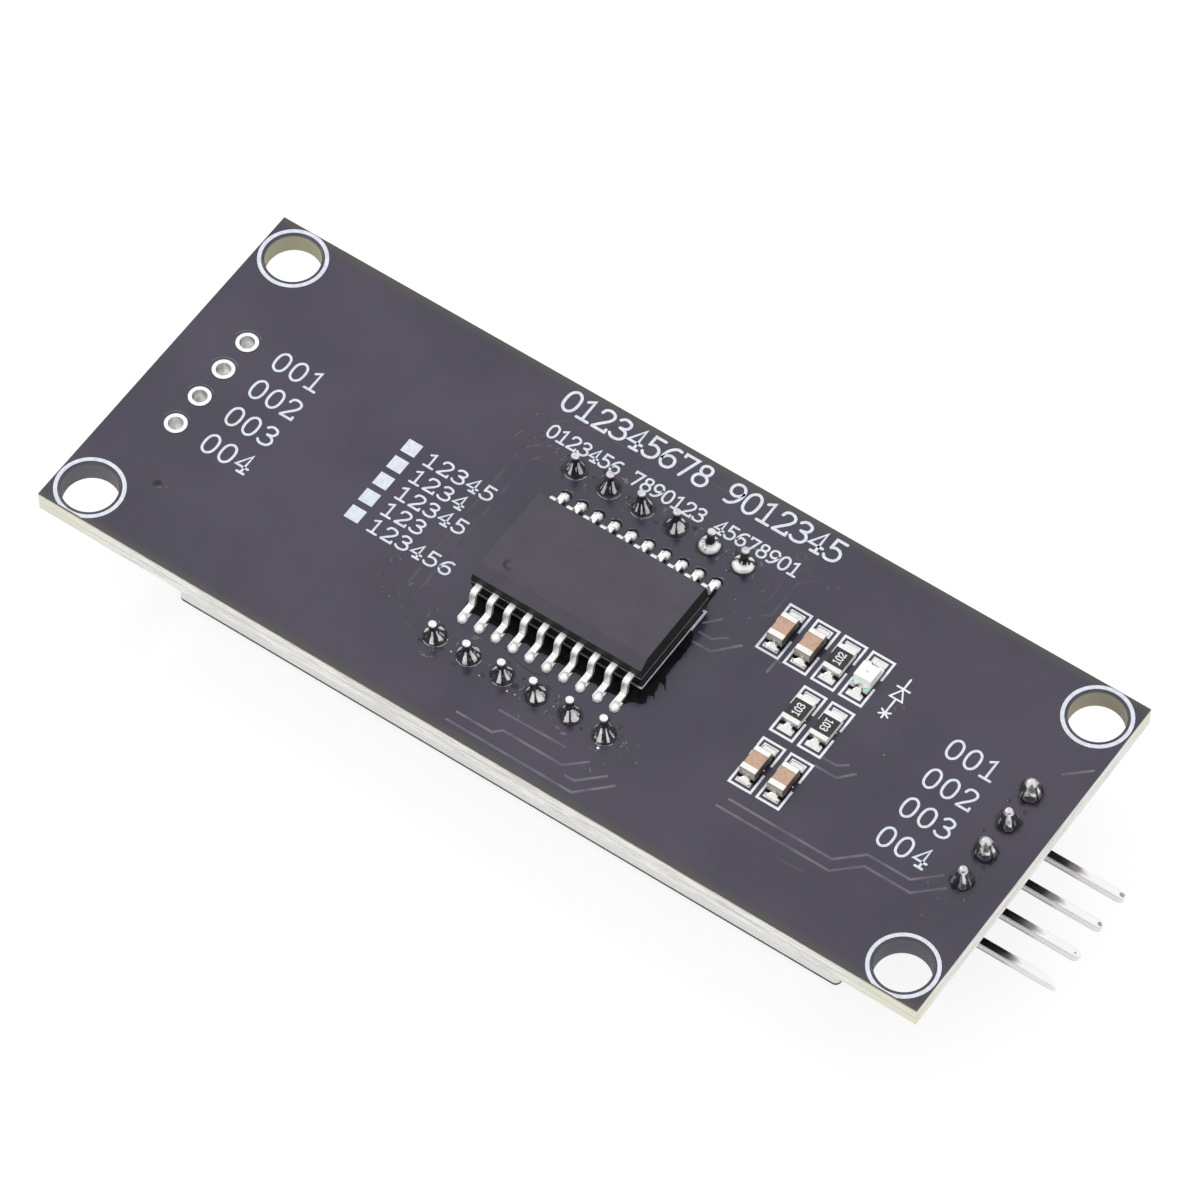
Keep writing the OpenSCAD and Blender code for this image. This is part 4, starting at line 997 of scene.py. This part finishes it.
LOW_FULL = ((-95, 62, 1.0, -0.1, 0.44), (-20, 50, 0.72, -0.1, 0.36), (-85, 9, 0.9, 0.2, 0.66),
            (-20, 9, 0.8, 0.2, 0.6), (100, 70, 0.42, -0.1, 0.3))

# Each display joint from left to right: its flank, flutes, size, the lean of the pin's tip in X and Y, the
# reach of the bright rim on its near side in degrees, and its streaks of painted highlight.
NEAR_JOINTS = (
    (TENT, 0.03, 0.98, 0.00, -0.24, 120, TWIN), (BELL, 0.03, 1.0, 0.00, -0.21, 135, TWIN),
    (TENT, 0.04, 0.95, 0.01, -0.11, 90, TWIN), (TENT, 0.04, 0.92, -0.15, -0.09, 0, TWIN_WIDE),
    (TENT, 0.04, 0.92, -0.05, 0.04, 0, TWIN_WIDE), (BELL, 0.04, 0.96, -0.13, 0.14, 80, TWIN_THIN),
)
FAR_JOINTS = (
    (SPIRE, 0.04, 0.98, 0.04, -0.10, 110, SPLIT), (SPIRE, 0.04, 1.02, 0.10, 0.0, 125, SPLIT),
    (SPIRE, 0.05, 1.04, -0.04, -0.05, 120, SPLIT_RIGHT), (TENT, 0.06, 0.9, 0.05, 0.05, 0, TWIN_WIDE),
    (BALL, 0.02, 1.0, 0.11, 0.05, 0, LOW_RIGHT), (BALL, 0.02, 1.02, 0.07, 0.10, 0, LOW_FULL),
)
RIM_R = 0.84


def solder_display():
    """The display's pins, the joint round each, and the thin rims that some joints have."""
    rng = random.Random(5)
    solder = Shape()
    rims = Shape()
    rows = (("near", NEAR_ROW_Y, NEAR_JOINTS), ("far", FAR_ROW_Y, FAR_JOINTS))
    for name, y, joints in rows:
        pins = Shape()
        for x, (flank, flutes, size, lean_x, lean_y, reach, streaks) in zip(PIN_ROW_X, joints):
            share = flank[-1][0] / (PIN_TIP_Z - PAD_Z)
            # Painted highlights on the far side of each joint.
            behind = tuple((turn + rng.uniform(-15, 15), 15, 1.0, 0.02, 0.66) for turn in (75, 125, 175))
            lean = (lean_x * share, lean_y * share)
            joint(solder, x, y, flank, lean, rng, flutes, size, streaks + behind)
            pin(pins, x, y, PIN_FOOT_Z, PIN_TIP_Z, (lean_x, lean_y))
            if reach:
                start = math.radians(-60 - reach / 2)
                arc = circle(x + 0.05, y, RIM_R, 14, start, math.radians(reach))
                sweep(rims, arc, 0.06, FACE_Z, PAD_Z + 0.02, ROUND)
        pins.piece(
            f"display_pins_{name}_leaning", FINISHES["display_pin"], [f"display_pins_{name}"]
        )
    solder.piece("display_joints", FINISHES["joint"], ["display_solder"], 50)
    rims.piece("joint_rims", FINISHES["solder"])


# Painted highlights on the header joints, as joint() takes them.
EGG_SHINE = ((-64, 30, 1.0, 0.14, 0.9), (-8, 10, 0.8, 0.18, 0.8), (-60, 180, 1.0, 0.84, 1.3),
             (-112, 8, 0.5, 0.2, 0.6), (100, 60, 0.8, 0.1, 0.9))
FLASK_SHINE = ((-58, 20, 1.0, 0.12, 0.9), (-60, 180, 1.0, 0.84, 1.3), (-122, 10, 0.6, 0.2, 0.6),
               (-10, 8, 0.5, 0.15, 0.6), (100, 60, 0.8, 0.1, 0.9))
# Each header joint from the far side: its flank, flutes and streaks of painted highlight.
HEADER_JOINTS = (
    (EGG, 0.02, EGG_SHINE), (FLASK, 0.05, FLASK_SHINE), (EGG, 0.02, EGG_SHINE), (FLASK, 0.06, FLASK_SHINE),
)


def solder_header():
    """The joints of the header pins, which cover the tips of their legs."""
    rng = random.Random(11)
    solder = Shape()
    for y, (flank, flutes, streaks) in zip(HEADER_Y, HEADER_JOINTS):
        lean = (rng.uniform(-0.05, -0.01), rng.uniform(0.01, 0.05))
        joint(solder, HEADER_X, y, flank, lean, rng, flutes, 1.03, streaks, 1.08)
    solder.piece("header_joints", FINISHES["header_joint"], ["header_solder"], 50)


BEND_R = 0.72
LEG_TAPER = 0.95
LEG_TIP = 0.36


CORNER_CUT = 0.07


def square_ring(centre, across, up, half):
    """A square with cut corners round a point, in the plane of two directions."""
    low = half - min(CORNER_CUT, half * 0.5)
    corners = ((half, low), (low, half), (-low, half), (-half, low), (-half, -low), (-low, -half),
               (low, -half), (half, -low))
    return [tuple(centre[k] + across[k] * a + up[k] * b for k in range(3)) for a, b in corners]


# Outer ends of the header pins: (distance back from the tip, half width, half height), to the tip itself.
BLUNT_END = ((0.34, 0.32, 0.32), (0.16, 0.27, 0.27), (0.06, 0.235, 0.235), (0.0, 0.19, 0.19))
POINTED_END = ((1.6, 0.32, 0.32), (1.0, 0.275, 0.31), (0.5, 0.215, 0.29),
               (0.15, 0.15, 0.25), (0.0, 0.10, 0.2))


def form_header_pins():
    """Square wire bent to a right angle, with a tapered leg through the board and a cropped outer end."""
    rng = random.Random(23)
    burrs = Shape()
    half = HEADER_PIN_SIDE / 2
    for i, name in enumerate(HEADER_PINS):
        low, high = box_mm(name)
        y = (low.y + high.y) / 2
        axis_z = low.z + half
        shape = Shape()
        rings = []
        for z, h in (
            (high.z - 0.2, LEG_TIP / 2), (high.z - 0.4, LEG_TIP / 2 + 0.05),
            (high.z - LEG_TAPER, half), (axis_z + BEND_R, half),
        ):
            rings.append(square_ring((HEADER_X, y, z), (1, 0, 0), (0, 1, 0), h))
        for step in range(1, 7):
            turn = math.pi / 2 * step / 6
            centre = (HEADER_X + BEND_R * (1 - math.cos(turn)), y, axis_z + BEND_R * (1 - math.sin(turn)))
            rings.append(square_ring(centre, (math.cos(turn), 0, math.sin(turn)), (0, 1, 0), half))
        for back, h, high_h in POINTED_END if i == 3 else BLUNT_END:
            aside = (half - h) * (0.9 if i == 3 else 0)
            centre = (high.x - back, y - aside, axis_z)
            rings.append(square_ring(centre, (0, 0, high_h / h), (0, 1, 0), h))
        shape.loft(rings)
        if i < 3:
            back, aside, radius = ((0.24, 0.04, 0.2), (0.22, 0.05, 0.18), (0.3, -0.02, 0.11))[i]
            spot = blob_outline(high.x - back, y + aside, radius, rng, 0.25, 12)
            dome(burrs, spot, axis_z + 0.235, 0.12)
        shape.piece(f"{name}_formed", FINISHES["header_pin"], [name], 30)
    burrs.piece("pin_burrs", FINISHES["burr"])


NEAR_TOE_END = 6.02
FAR_TOE_END = 5.76


def solder_chip():
    """A round drop of solder at the toe of each lead, with a thin neck on to its foot."""
    rng = random.Random(3)
    shape = Shape()
    for side, end in ((-1, NEAR_TOE_END), (1, FAR_TOE_END)):
        start = end - 0.66
        for x in LEAD_X:
            grow = rng.uniform(0.92, 1.08)
            slide = rng.uniform(0.07, 0.11)
            sections = []
            for t, half, height in (
                (0.0, 0.16, 0.12), (0.06, 0.20, 0.22), (0.12, 0.25, 0.29), (0.22, 0.29, 0.31),
                (0.4, 0.305, 0.30), (0.6, 0.30, 0.28), (0.78, 0.27, 0.24), (0.91, 0.21, 0.17),
                (0.98, 0.14, 0.08), (1.0, 0.10, 0.03),
            ):
                sections.append((side * (start + (end - start) * t), half, height * grow))
            hump(shape, x + slide, sections)
    shape.piece("chip_joints", FINISHES["lead"], ["chip_solder"], 60)


def jagged(points, rng, step=0.16, depth=0.07, spike=0.12):
    """A line through points whose outward side, on the left, is ragged with small spikes."""
    line = []
    for (ax, ay), (bx, by) in zip(points, points[1:]):
        length = math.hypot(bx - ax, by - ay)
        count = max(1, round(length / step))
        for i in range(count):
            t = i / count
            out = rng.uniform(-depth, depth) + (spike if rng.random() < 0.22 else 0)
            line.append((
                ax + (bx - ax) * t - (by - ay) / length * out,
                ay + (by - ay) * t + (bx - ax) / length * out,
            ))
    return line + [points[-1]]


# The outer side of the seam, with its two spikes, from the near end to the far one.
SEAM = (
    (6.1, -5.1), (6.32, -4.7), (6.6, -4.52), (6.92, -4.56), (7.12, -4.2), (6.98, -3.72), (7.22, -3.55),
    (7.48, -3.78), (7.2, -3.4), (7.12, -2.95), (6.92, -2.5), (7.2, -2.45), (7.72, -2.88), (7.3, -2.3),
    (7.08, -1.95), (7.04, -1.0), (7.08, 0.0), (6.98, 0.9), (6.7, 1.6),
)


def lay_lead_shade():
    """Painted shade: a near-black sheet between the chip's leads, under its far feet and in a ragged seam
    along the chip's end, where the chip's shade and dark reflection fall.
    """
    rng = random.Random(41)
    shape = Shape()
    low, high = FACE_Z - SINK, PAD_Z + 0.012

    def slab(outline, top=high):
        shape.loft([[(x, y, z) for x, y in outline] for z in (low, top)])

    for i in range(9):
        left, right = LEAD_X[i], LEAD_X[i + 1]
        outer = [(right + 0.1, -5.0), (right - 0.22, -5.12)]
        outer += jagged([(right - 0.4, -4.86), (left + 0.4, -4.86)], rng, 0.12, 0.04, 0.08)
        outer += [(left + 0.22, -5.12), (left - 0.1, -5.0)]
        slab([(left - 0.1, -3.66), (right + 0.1, -3.66)] + outer, high + 0.0004 * (i % 2))
    first = LEAD_X[0]
    slab([(first, -3.66), (first, -5.1), (first - 0.3, -5.05), (first - 0.45, -4.3), (first - 0.42, -3.66)],
         high - 0.0005)
    for x in LEAD_X:
        slab([
            (x - 0.36, 3.9), (x + 0.40, 3.9), (x + 0.42, 4.9), (x + 0.34, 5.14), (x - 0.34, 5.14),
            (x - 0.38, 4.9),
        ])
        tip = circle(x + 0.03, 5.5, 0.44, 14, math.radians(20), math.radians(140))
        slab(tip, high + 0.0004)
    seam = jagged(SEAM, rng, 0.1, 0.03, 0.05)
    slab([(6.42, 1.75), (6.42, -3.6), (6.2, -3.66), (5.8, -3.66), (5.75, -5.05)] + seam, high - 0.001)
    shape.piece("lead_shade", FINISHES["pitch"])


LAND_OUTER = 1.6


def fillet(shape, x, y_end, y_outer, top, rng):
    """Solder from a part's end face, at y_end, down to the outer end of its land."""
    way = 1 if y_outer > y_end else -1
    room = abs(y_outer - y_end)
    grow = rng.uniform(0.9, 1.1)
    slide = rng.uniform(-0.05, 0.03)
    sections = []
    for t, half, height in (
        (-0.12, 0.26, 0.9), (0.0, 0.28, 0.84), (0.08, 0.29, 0.62 * grow), (0.2, 0.31, 0.46 * grow),
        (0.32, 0.37, 0.38 * grow), (0.42, 0.46, 0.34 * grow), (0.55, 0.51, 0.31), (0.75, 0.51, 0.27),
        (0.88, 0.48, 0.18), (0.95, 0.42, 0.09), (1.0, 0.32, 0.01),
    ):
        sections.append((y_end + way * room * t, half, top * height))
    hump(shape, x + slide, sections, 3.0)


def shade_land(shape, x, y_end, y_outer, rng):
    """Painted shade: a near-black sheet in the two notches beside a fillet's neck."""
    way = 1 if y_outer > y_end else -1
    room = abs(y_outer - y_end)
    low, top = FACE_Z - SINK, PAD_Z + 0.012
    for side in (-1, 1):
        outline = [
            (x + side * 0.12, y_end - way * 0.3), (x + side * 0.66, y_end - way * 0.3),
            (x + side * 0.64, y_end + way * room * rng.uniform(0.18, 0.26)),
            (x + side * 0.52, y_end + way * room * rng.uniform(0.34, 0.42)),
            (x + side * 0.40, y_end + way * room * rng.uniform(0.26, 0.34)),
            (x + side * 0.12, y_end + way * room * 0.2),
        ]
        if side * way > 0:
            outline.reverse()
        shape.loft([[(px, py, z) for px, py in outline] for z in (low, top + 0.0005 * (side > 0))])


def solder_small_parts():
    """Fillets at both ends of every small part."""
    rng = random.Random(17)
    shape = Shape()
    shades = Shape()
    parts = [(f"{name}_ends", 0.5) for name in CAPACITORS]
    parts += [(f"{name}_ends", 0.34) for name in RESISTORS]
    parts += [("status_light_ends", 0.22)]
    land_low, land_high = box_mm("small_part_lands")
    land_rows = (land_high.y - LAND_OUTER - 0.04, middle("resistor_2_ends").y, land_low.y + LAND_OUTER + 0.04)
    for node, top in parts:
        low, high = box_mm(node)
        here = (low + high) / 2
        row = min(land_rows, key=lambda y: abs(y - here.y))
        for end, outer in ((low.y, row - LAND_OUTER), (high.y, row + LAND_OUTER)):
            fillet(shape, here.x, end, outer, top, rng)
            shade_land(shades, here.x, end, outer, rng)
    shape.piece("small_part_joints", FINISHES["solder"], ["small_part_solder"], 60)
    shades.piece("land_shade", FINISHES["pitch"])


# Flux and specks

DROPS = (
    (15.9, 0.25, 0.075), (15.85, -4.2, 0.075), (17.95, -4.17, 0.075), (17.98, 0.6, 0.06), (21.25, 0.95, 0.05),
    (-5.58, -7.42, 0.09), (-5.52, 7.42, 0.08), (-0.62, 7.72, 0.08), (-2.02, 7.36, 0.09), (0.54, 7.5, 0.09),
    (-3.2, 7.95, 0.05), (6.6, -8.62, 0.11), (3.3, -7.75, 0.07), (2.65, -7.7, 0.06), (-4.85, -8.0, 0.07),
    (-0.35, -8.4, 0.08), (0.2, -8.35, 0.06), (-2.4, -8.45, 0.06), (7.4, 5.2, 0.05), (7.9, 4.4, 0.04),
)

# Places with pale smears: (x, y, spread).
SMEARS = (
    (-9.3, 9.3, 0.9), (-8.4, 8.4, 0.7), (-10.2, 7.6, 0.5), (-9.6, -5.9, 0.8), (-8.2, -6.6, 0.6),
    (-10.9, -6.9, 0.6), (7.9, 7.2, 0.5), (8.6, -7.9, 0.6), (7.4, -9.2, 0.6), (2.6, -9.0, 0.6),
    (-2.6, 8.5, 0.5), (30.2, -6.5, 0.6), (31.2, -5.2, 0.4), (28.9, -4.2, 0.3),
)

# Dark pits in the flux: centre and radius.
PITS = (
    (-27.3, -8.2, 0.3), (30.7, -2.45, 0.2), (30.9, -3.1, 0.14), (30.6, 2.35, 0.16), (29.35, 2.55, 0.13),
    (29.2, -0.1, 0.14), (31.0, 1.0, 0.12), (31.05, -4.9, 0.15),
)


def lay_flux():
    """Dried flux round the joints: dark rings and pits, pale smears and small bright drops."""
    rng = random.Random(29)
    film = Shape()
    haze = Shape()
    drops = Shape()
    low = FACE_Z - SINK
    for x, y in [(x, y) for y in (NEAR_ROW_Y, FAR_ROW_Y) for x in PIN_ROW_X]:
        dome(film, blob_outline(x, y, rng.uniform(0.82, 0.9), rng, 0.2), low, 0.06, 1.2, 4)
    for y in HEADER_Y:
        dome(film, blob_outline(HEADER_X, y, rng.uniform(0.88, 0.96), rng, 0.2), low, 0.075, 1.2, 4)
    for y in (NEAR_ROW_Y, FAR_ROW_Y):
        for x in PIN_ROW_X:
            for _ in range(4):
                away = rng.uniform(0.95, 1.5)
                angle = rng.uniform(0, 2 * math.pi)
                spot = (x + away * math.cos(angle), y + 0.8 * away * math.sin(angle))
                pit = blob_outline(*spot, rng.uniform(0.08, 0.2), rng, 0.3, 14, (rng.uniform(0.8, 1.8), 1.0))
                dome(film, pit, low, 0.03)
            for _ in range(3):
                away = rng.uniform(1.0, 1.6)
                start = rng.uniform(0, 2 * math.pi)
                arc = circle(x, y, away, 6, start, rng.uniform(0.2, 0.5))
                line = [(px + rng.uniform(-0.05, 0.05), py + rng.uniform(-0.05, 0.05)) for px, py in arc]
                sweep(haze, spline(line, 3), rng.uniform(0.06, 0.14), low, FACE_Z + 0.02, ROUND)
    for x, y, spread in SMEARS:
        for _ in range(round(spread * 6)):
            px, py = x + rng.uniform(-spread, spread), y + rng.uniform(-spread, spread) * 0.7
            arc = circle(px, py, rng.uniform(0.5, 1.3), 5, rng.uniform(0, 6.28), rng.uniform(0.25, 0.6))
            sweep(haze, spline(arc, 3), rng.uniform(0.04, 0.09), low, FACE_Z + 0.02, ROUND)
    for x, y, radius in PITS:
        dome(film, blob_outline(x, y, radius, rng, 0.4, 14), low, 0.03)
    for x, y in ((-27.0, -8.42), (-26.75, -8.16)):
        sweep(haze, spline([(x, y), (x + 0.16, y + 0.05), (x + 0.3, y - 0.02)], 3), 0.07, low, FACE_Z + 0.02,
              ROUND)
    for x in LEAD_X:
        line = [(x - 0.42, 5.86), (x - 0.2, 5.93), (x, 6.02), (x + 0.2, 6.06)]
        line = [(px + rng.uniform(-0.04, 0.06), py + rng.uniform(-0.04, 0.04)) for px, py in line]
        sweep(haze, spline(line, 3), rng.uniform(0.09, 0.14), low, FACE_Z + 0.02, ROUND)
    scratch = spline([(-2.3, -5.92), (-1.6, -6.1), (-0.8, -6.32), (0.1, -6.42), (0.5, -6.3), (1.1, -6.15)], 4)
    sweep(film, scratch, 0.07, low, FACE_Z + 0.012, ROUND)
    for x, y, radius in DROPS:
        dome(drops, blob_outline(x, y, radius, rng, 0.15, 10), low, 0.05)
    film.piece("flux_films", FINISHES["flux"])
    haze.piece("flux_smears", FINISHES["haze"])
    drops.piece("solder_drops", FINISHES["solder"])


def mark_light():
    """Green marks on the status light's near corners."""
    shape = Shape()
    low, high = box_mm("status_light_base")
    top = high.z
    edge = low.y + 0.02
    for side, x in ((1, low.x + 0.02), (-1, high.x - 0.02)):
        outline = [
            (x, edge), (x + side * 0.3, edge), (x + side * 0.26, edge + 0.12), (x + side * 0.1, edge + 0.24),
            (x, edge + 0.26),
        ]
        shape.loft([[(px, py, z) for px, py in outline[::side]] for z in (top - 0.01, top + 0.02)])
    shape.piece("light_marks", FINISHES["mark"])


# Stage

CAMERA_PLACE = (147.010, -214.397, 399.856)
CAMERA_TURN = (33.67069, -0.24997, 34.67101)
CAMERA_LENS = 226.877
CAMERA_SENSOR = 36
KEY_PLACE = (-520.0, 120.0, 640.0)
KEY_SIZE = 0.16
KEY_WATTS = 1.0
SHADE_TURN = -55.6
SHADE_TILT = 18.0
SHADE_START = 0.72
SHADE_FULL = 0.92
SHADE_LEFT = 0.22
HORIZON_LEFT = 0.25
HORIZON_TOP = 0.42
FLOOR_HALF = 4.0
FLOOR_GAP = 0.00002
FLOOR_GLOW = 0.8
FLOOR_SEEN = 0.25
FLOOR_PALE = 0.92


def unseen_ray(tree):
    """One for rays from the camera, a mirror surface or clear material, and nought for the others."""
    path = tree.nodes.new("ShaderNodeLightPath")
    total = None
    for name in ("Is Camera Ray", "Is Glossy Ray", "Is Transmission Ray"):
        if total is None:
            total = path.outputs[name]
            continue
        larger = tree.nodes.new("ShaderNodeMath")
        larger.operation = "MAXIMUM"
        tree.links.new(total, larger.inputs[0])
        tree.links.new(path.outputs[name], larger.inputs[1])
        total = larger.outputs[0]
    return total


def light_scene():
    """An even white surround with one darker side that only mirror surfaces see, and a soft lamp."""
    world = bpy.data.worlds.new("surround")
    bpy.context.scene.world = world
    world.use_nodes = True
    tree = world.node_tree
    glow = tree.nodes["Background"]
    glow.inputs["Color"].default_value = (1, 1, 1, 1)
    turn, tilt = math.radians(SHADE_TURN), math.radians(SHADE_TILT)
    shade = (math.cos(turn) * math.cos(tilt), math.sin(turn) * math.cos(tilt), math.sin(tilt))
    place = tree.nodes.new("ShaderNodeTexCoord")
    toward = tree.nodes.new("ShaderNodeVectorMath")
    toward.operation = "DOT_PRODUCT"
    toward.inputs[1].default_value = shade
    tree.links.new(place.outputs["Generated"], toward.inputs[0])
    dim = tree.nodes.new("ShaderNodeMapRange")
    dim.interpolation_type = "SMOOTHSTEP"
    for socket, value in (
        ("From Min", SHADE_START), ("From Max", SHADE_FULL), ("To Min", 1.0), ("To Max", SHADE_LEFT),
    ):
        dim.inputs[socket].default_value = value
    tree.links.new(toward.outputs["Value"], dim.inputs["Value"])
    split = tree.nodes.new("ShaderNodeSeparateXYZ")
    tree.links.new(place.outputs["Generated"], split.inputs[0])
    horizon = tree.nodes.new("ShaderNodeMapRange")
    horizon.interpolation_type = "SMOOTHSTEP"
    for socket, value in (
        ("From Min", 0.0), ("From Max", HORIZON_TOP), ("To Min", HORIZON_LEFT), ("To Max", 1.0),
    ):
        horizon.inputs[socket].default_value = value
    tree.links.new(split.outputs[2], horizon.inputs["Value"])
    both = tree.nodes.new("ShaderNodeMath")
    both.operation = "MULTIPLY"
    tree.links.new(dim.outputs[0], both.inputs[0])
    tree.links.new(horizon.outputs[0], both.inputs[1])
    path = tree.nodes.new("ShaderNodeLightPath")
    strength = tree.nodes.new("ShaderNodeMix")
    strength.inputs[2].default_value = 1.0
    tree.links.new(path.outputs["Is Glossy Ray"], strength.inputs[0])
    tree.links.new(both.outputs[0], strength.inputs[3])
    tree.links.new(strength.outputs[0], glow.inputs["Strength"])
    lamp = bpy.data.lights.new("key", "AREA")
    lamp.shape = "DISK"
    lamp.size = KEY_SIZE
    lamp.energy = KEY_WATTS
    key = bpy.data.objects.new("key", lamp)
    key.location = Vector(KEY_PLACE) * MM
    key.rotation_euler = (-Vector(KEY_PLACE)).to_track_quat("-Z", "Y").to_euler()
    bpy.context.scene.collection.objects.link(key)


def lay_floor():
    """A plain white floor that keeps the object's soft shadow."""
    mesh = bpy.data.meshes.new("floor")
    low = cad_box[0].z - FLOOR_GAP
    size = FLOOR_HALF
    corners = [(-size, -size, low), (size, -size, low), (size, size, low), (-size, size, low)]
    mesh.from_pydata(corners, [], [(0, 1, 2, 3)])
    floor = bpy.data.objects.new("floor", mesh)
    bpy.context.scene.collection.objects.link(floor)
    paint = bpy.data.materials.new("floor")
    paint.use_nodes = True
    tree = paint.node_tree
    output = tree.nodes["Material Output"]
    tree.nodes.remove(tree.nodes["Principled BSDF"])
    seen = tree.nodes.new("ShaderNodeBsdfDiffuse")
    seen.inputs["Color"].default_value = (FLOOR_SEEN,) * 3 + (1,)
    glow = tree.nodes.new("ShaderNodeEmission")
    glow.inputs["Strength"].default_value = FLOOR_GLOW
    both = tree.nodes.new("ShaderNodeAddShader")
    tree.links.new(seen.outputs[0], both.inputs[0])
    tree.links.new(glow.outputs[0], both.inputs[1])
    plain = tree.nodes.new("ShaderNodeBsdfDiffuse")
    plain.inputs["Color"].default_value = (FLOOR_PALE,) * 3 + (1,)
    chosen = tree.nodes.new("ShaderNodeMixShader")
    tree.links.new(unseen_ray(tree), chosen.inputs[0])
    tree.links.new(plain.outputs[0], chosen.inputs[1])
    tree.links.new(both.outputs[0], chosen.inputs[2])
    tree.links.new(chosen.outputs[0], output.inputs["Surface"])
    mesh.materials.append(paint)


def set_camera():
    data = bpy.data.cameras.new("camera")
    data.sensor_width = CAMERA_SENSOR
    data.sensor_fit = "HORIZONTAL"
    data.lens = CAMERA_LENS
    data.clip_start = 0.01
    camera = bpy.data.objects.new("camera", data)
    camera.location = Vector(CAMERA_PLACE) * MM
    camera.rotation_euler = [math.radians(turn) for turn in CAMERA_TURN]
    bpy.context.scene.collection.objects.link(camera)
    bpy.context.scene.camera = camera


set_camera()
light_scene()
lay_floor()
finish_nodes()
print_numbers()
print_light_sign()
print_codes()
raise_tracks()
solder_display()
solder_header()
form_header_pins()
solder_chip()
lay_lead_shade()
solder_small_parts()
lay_flux()
mark_light()

bpy.context.scene.view_settings.view_transform = "Standard"
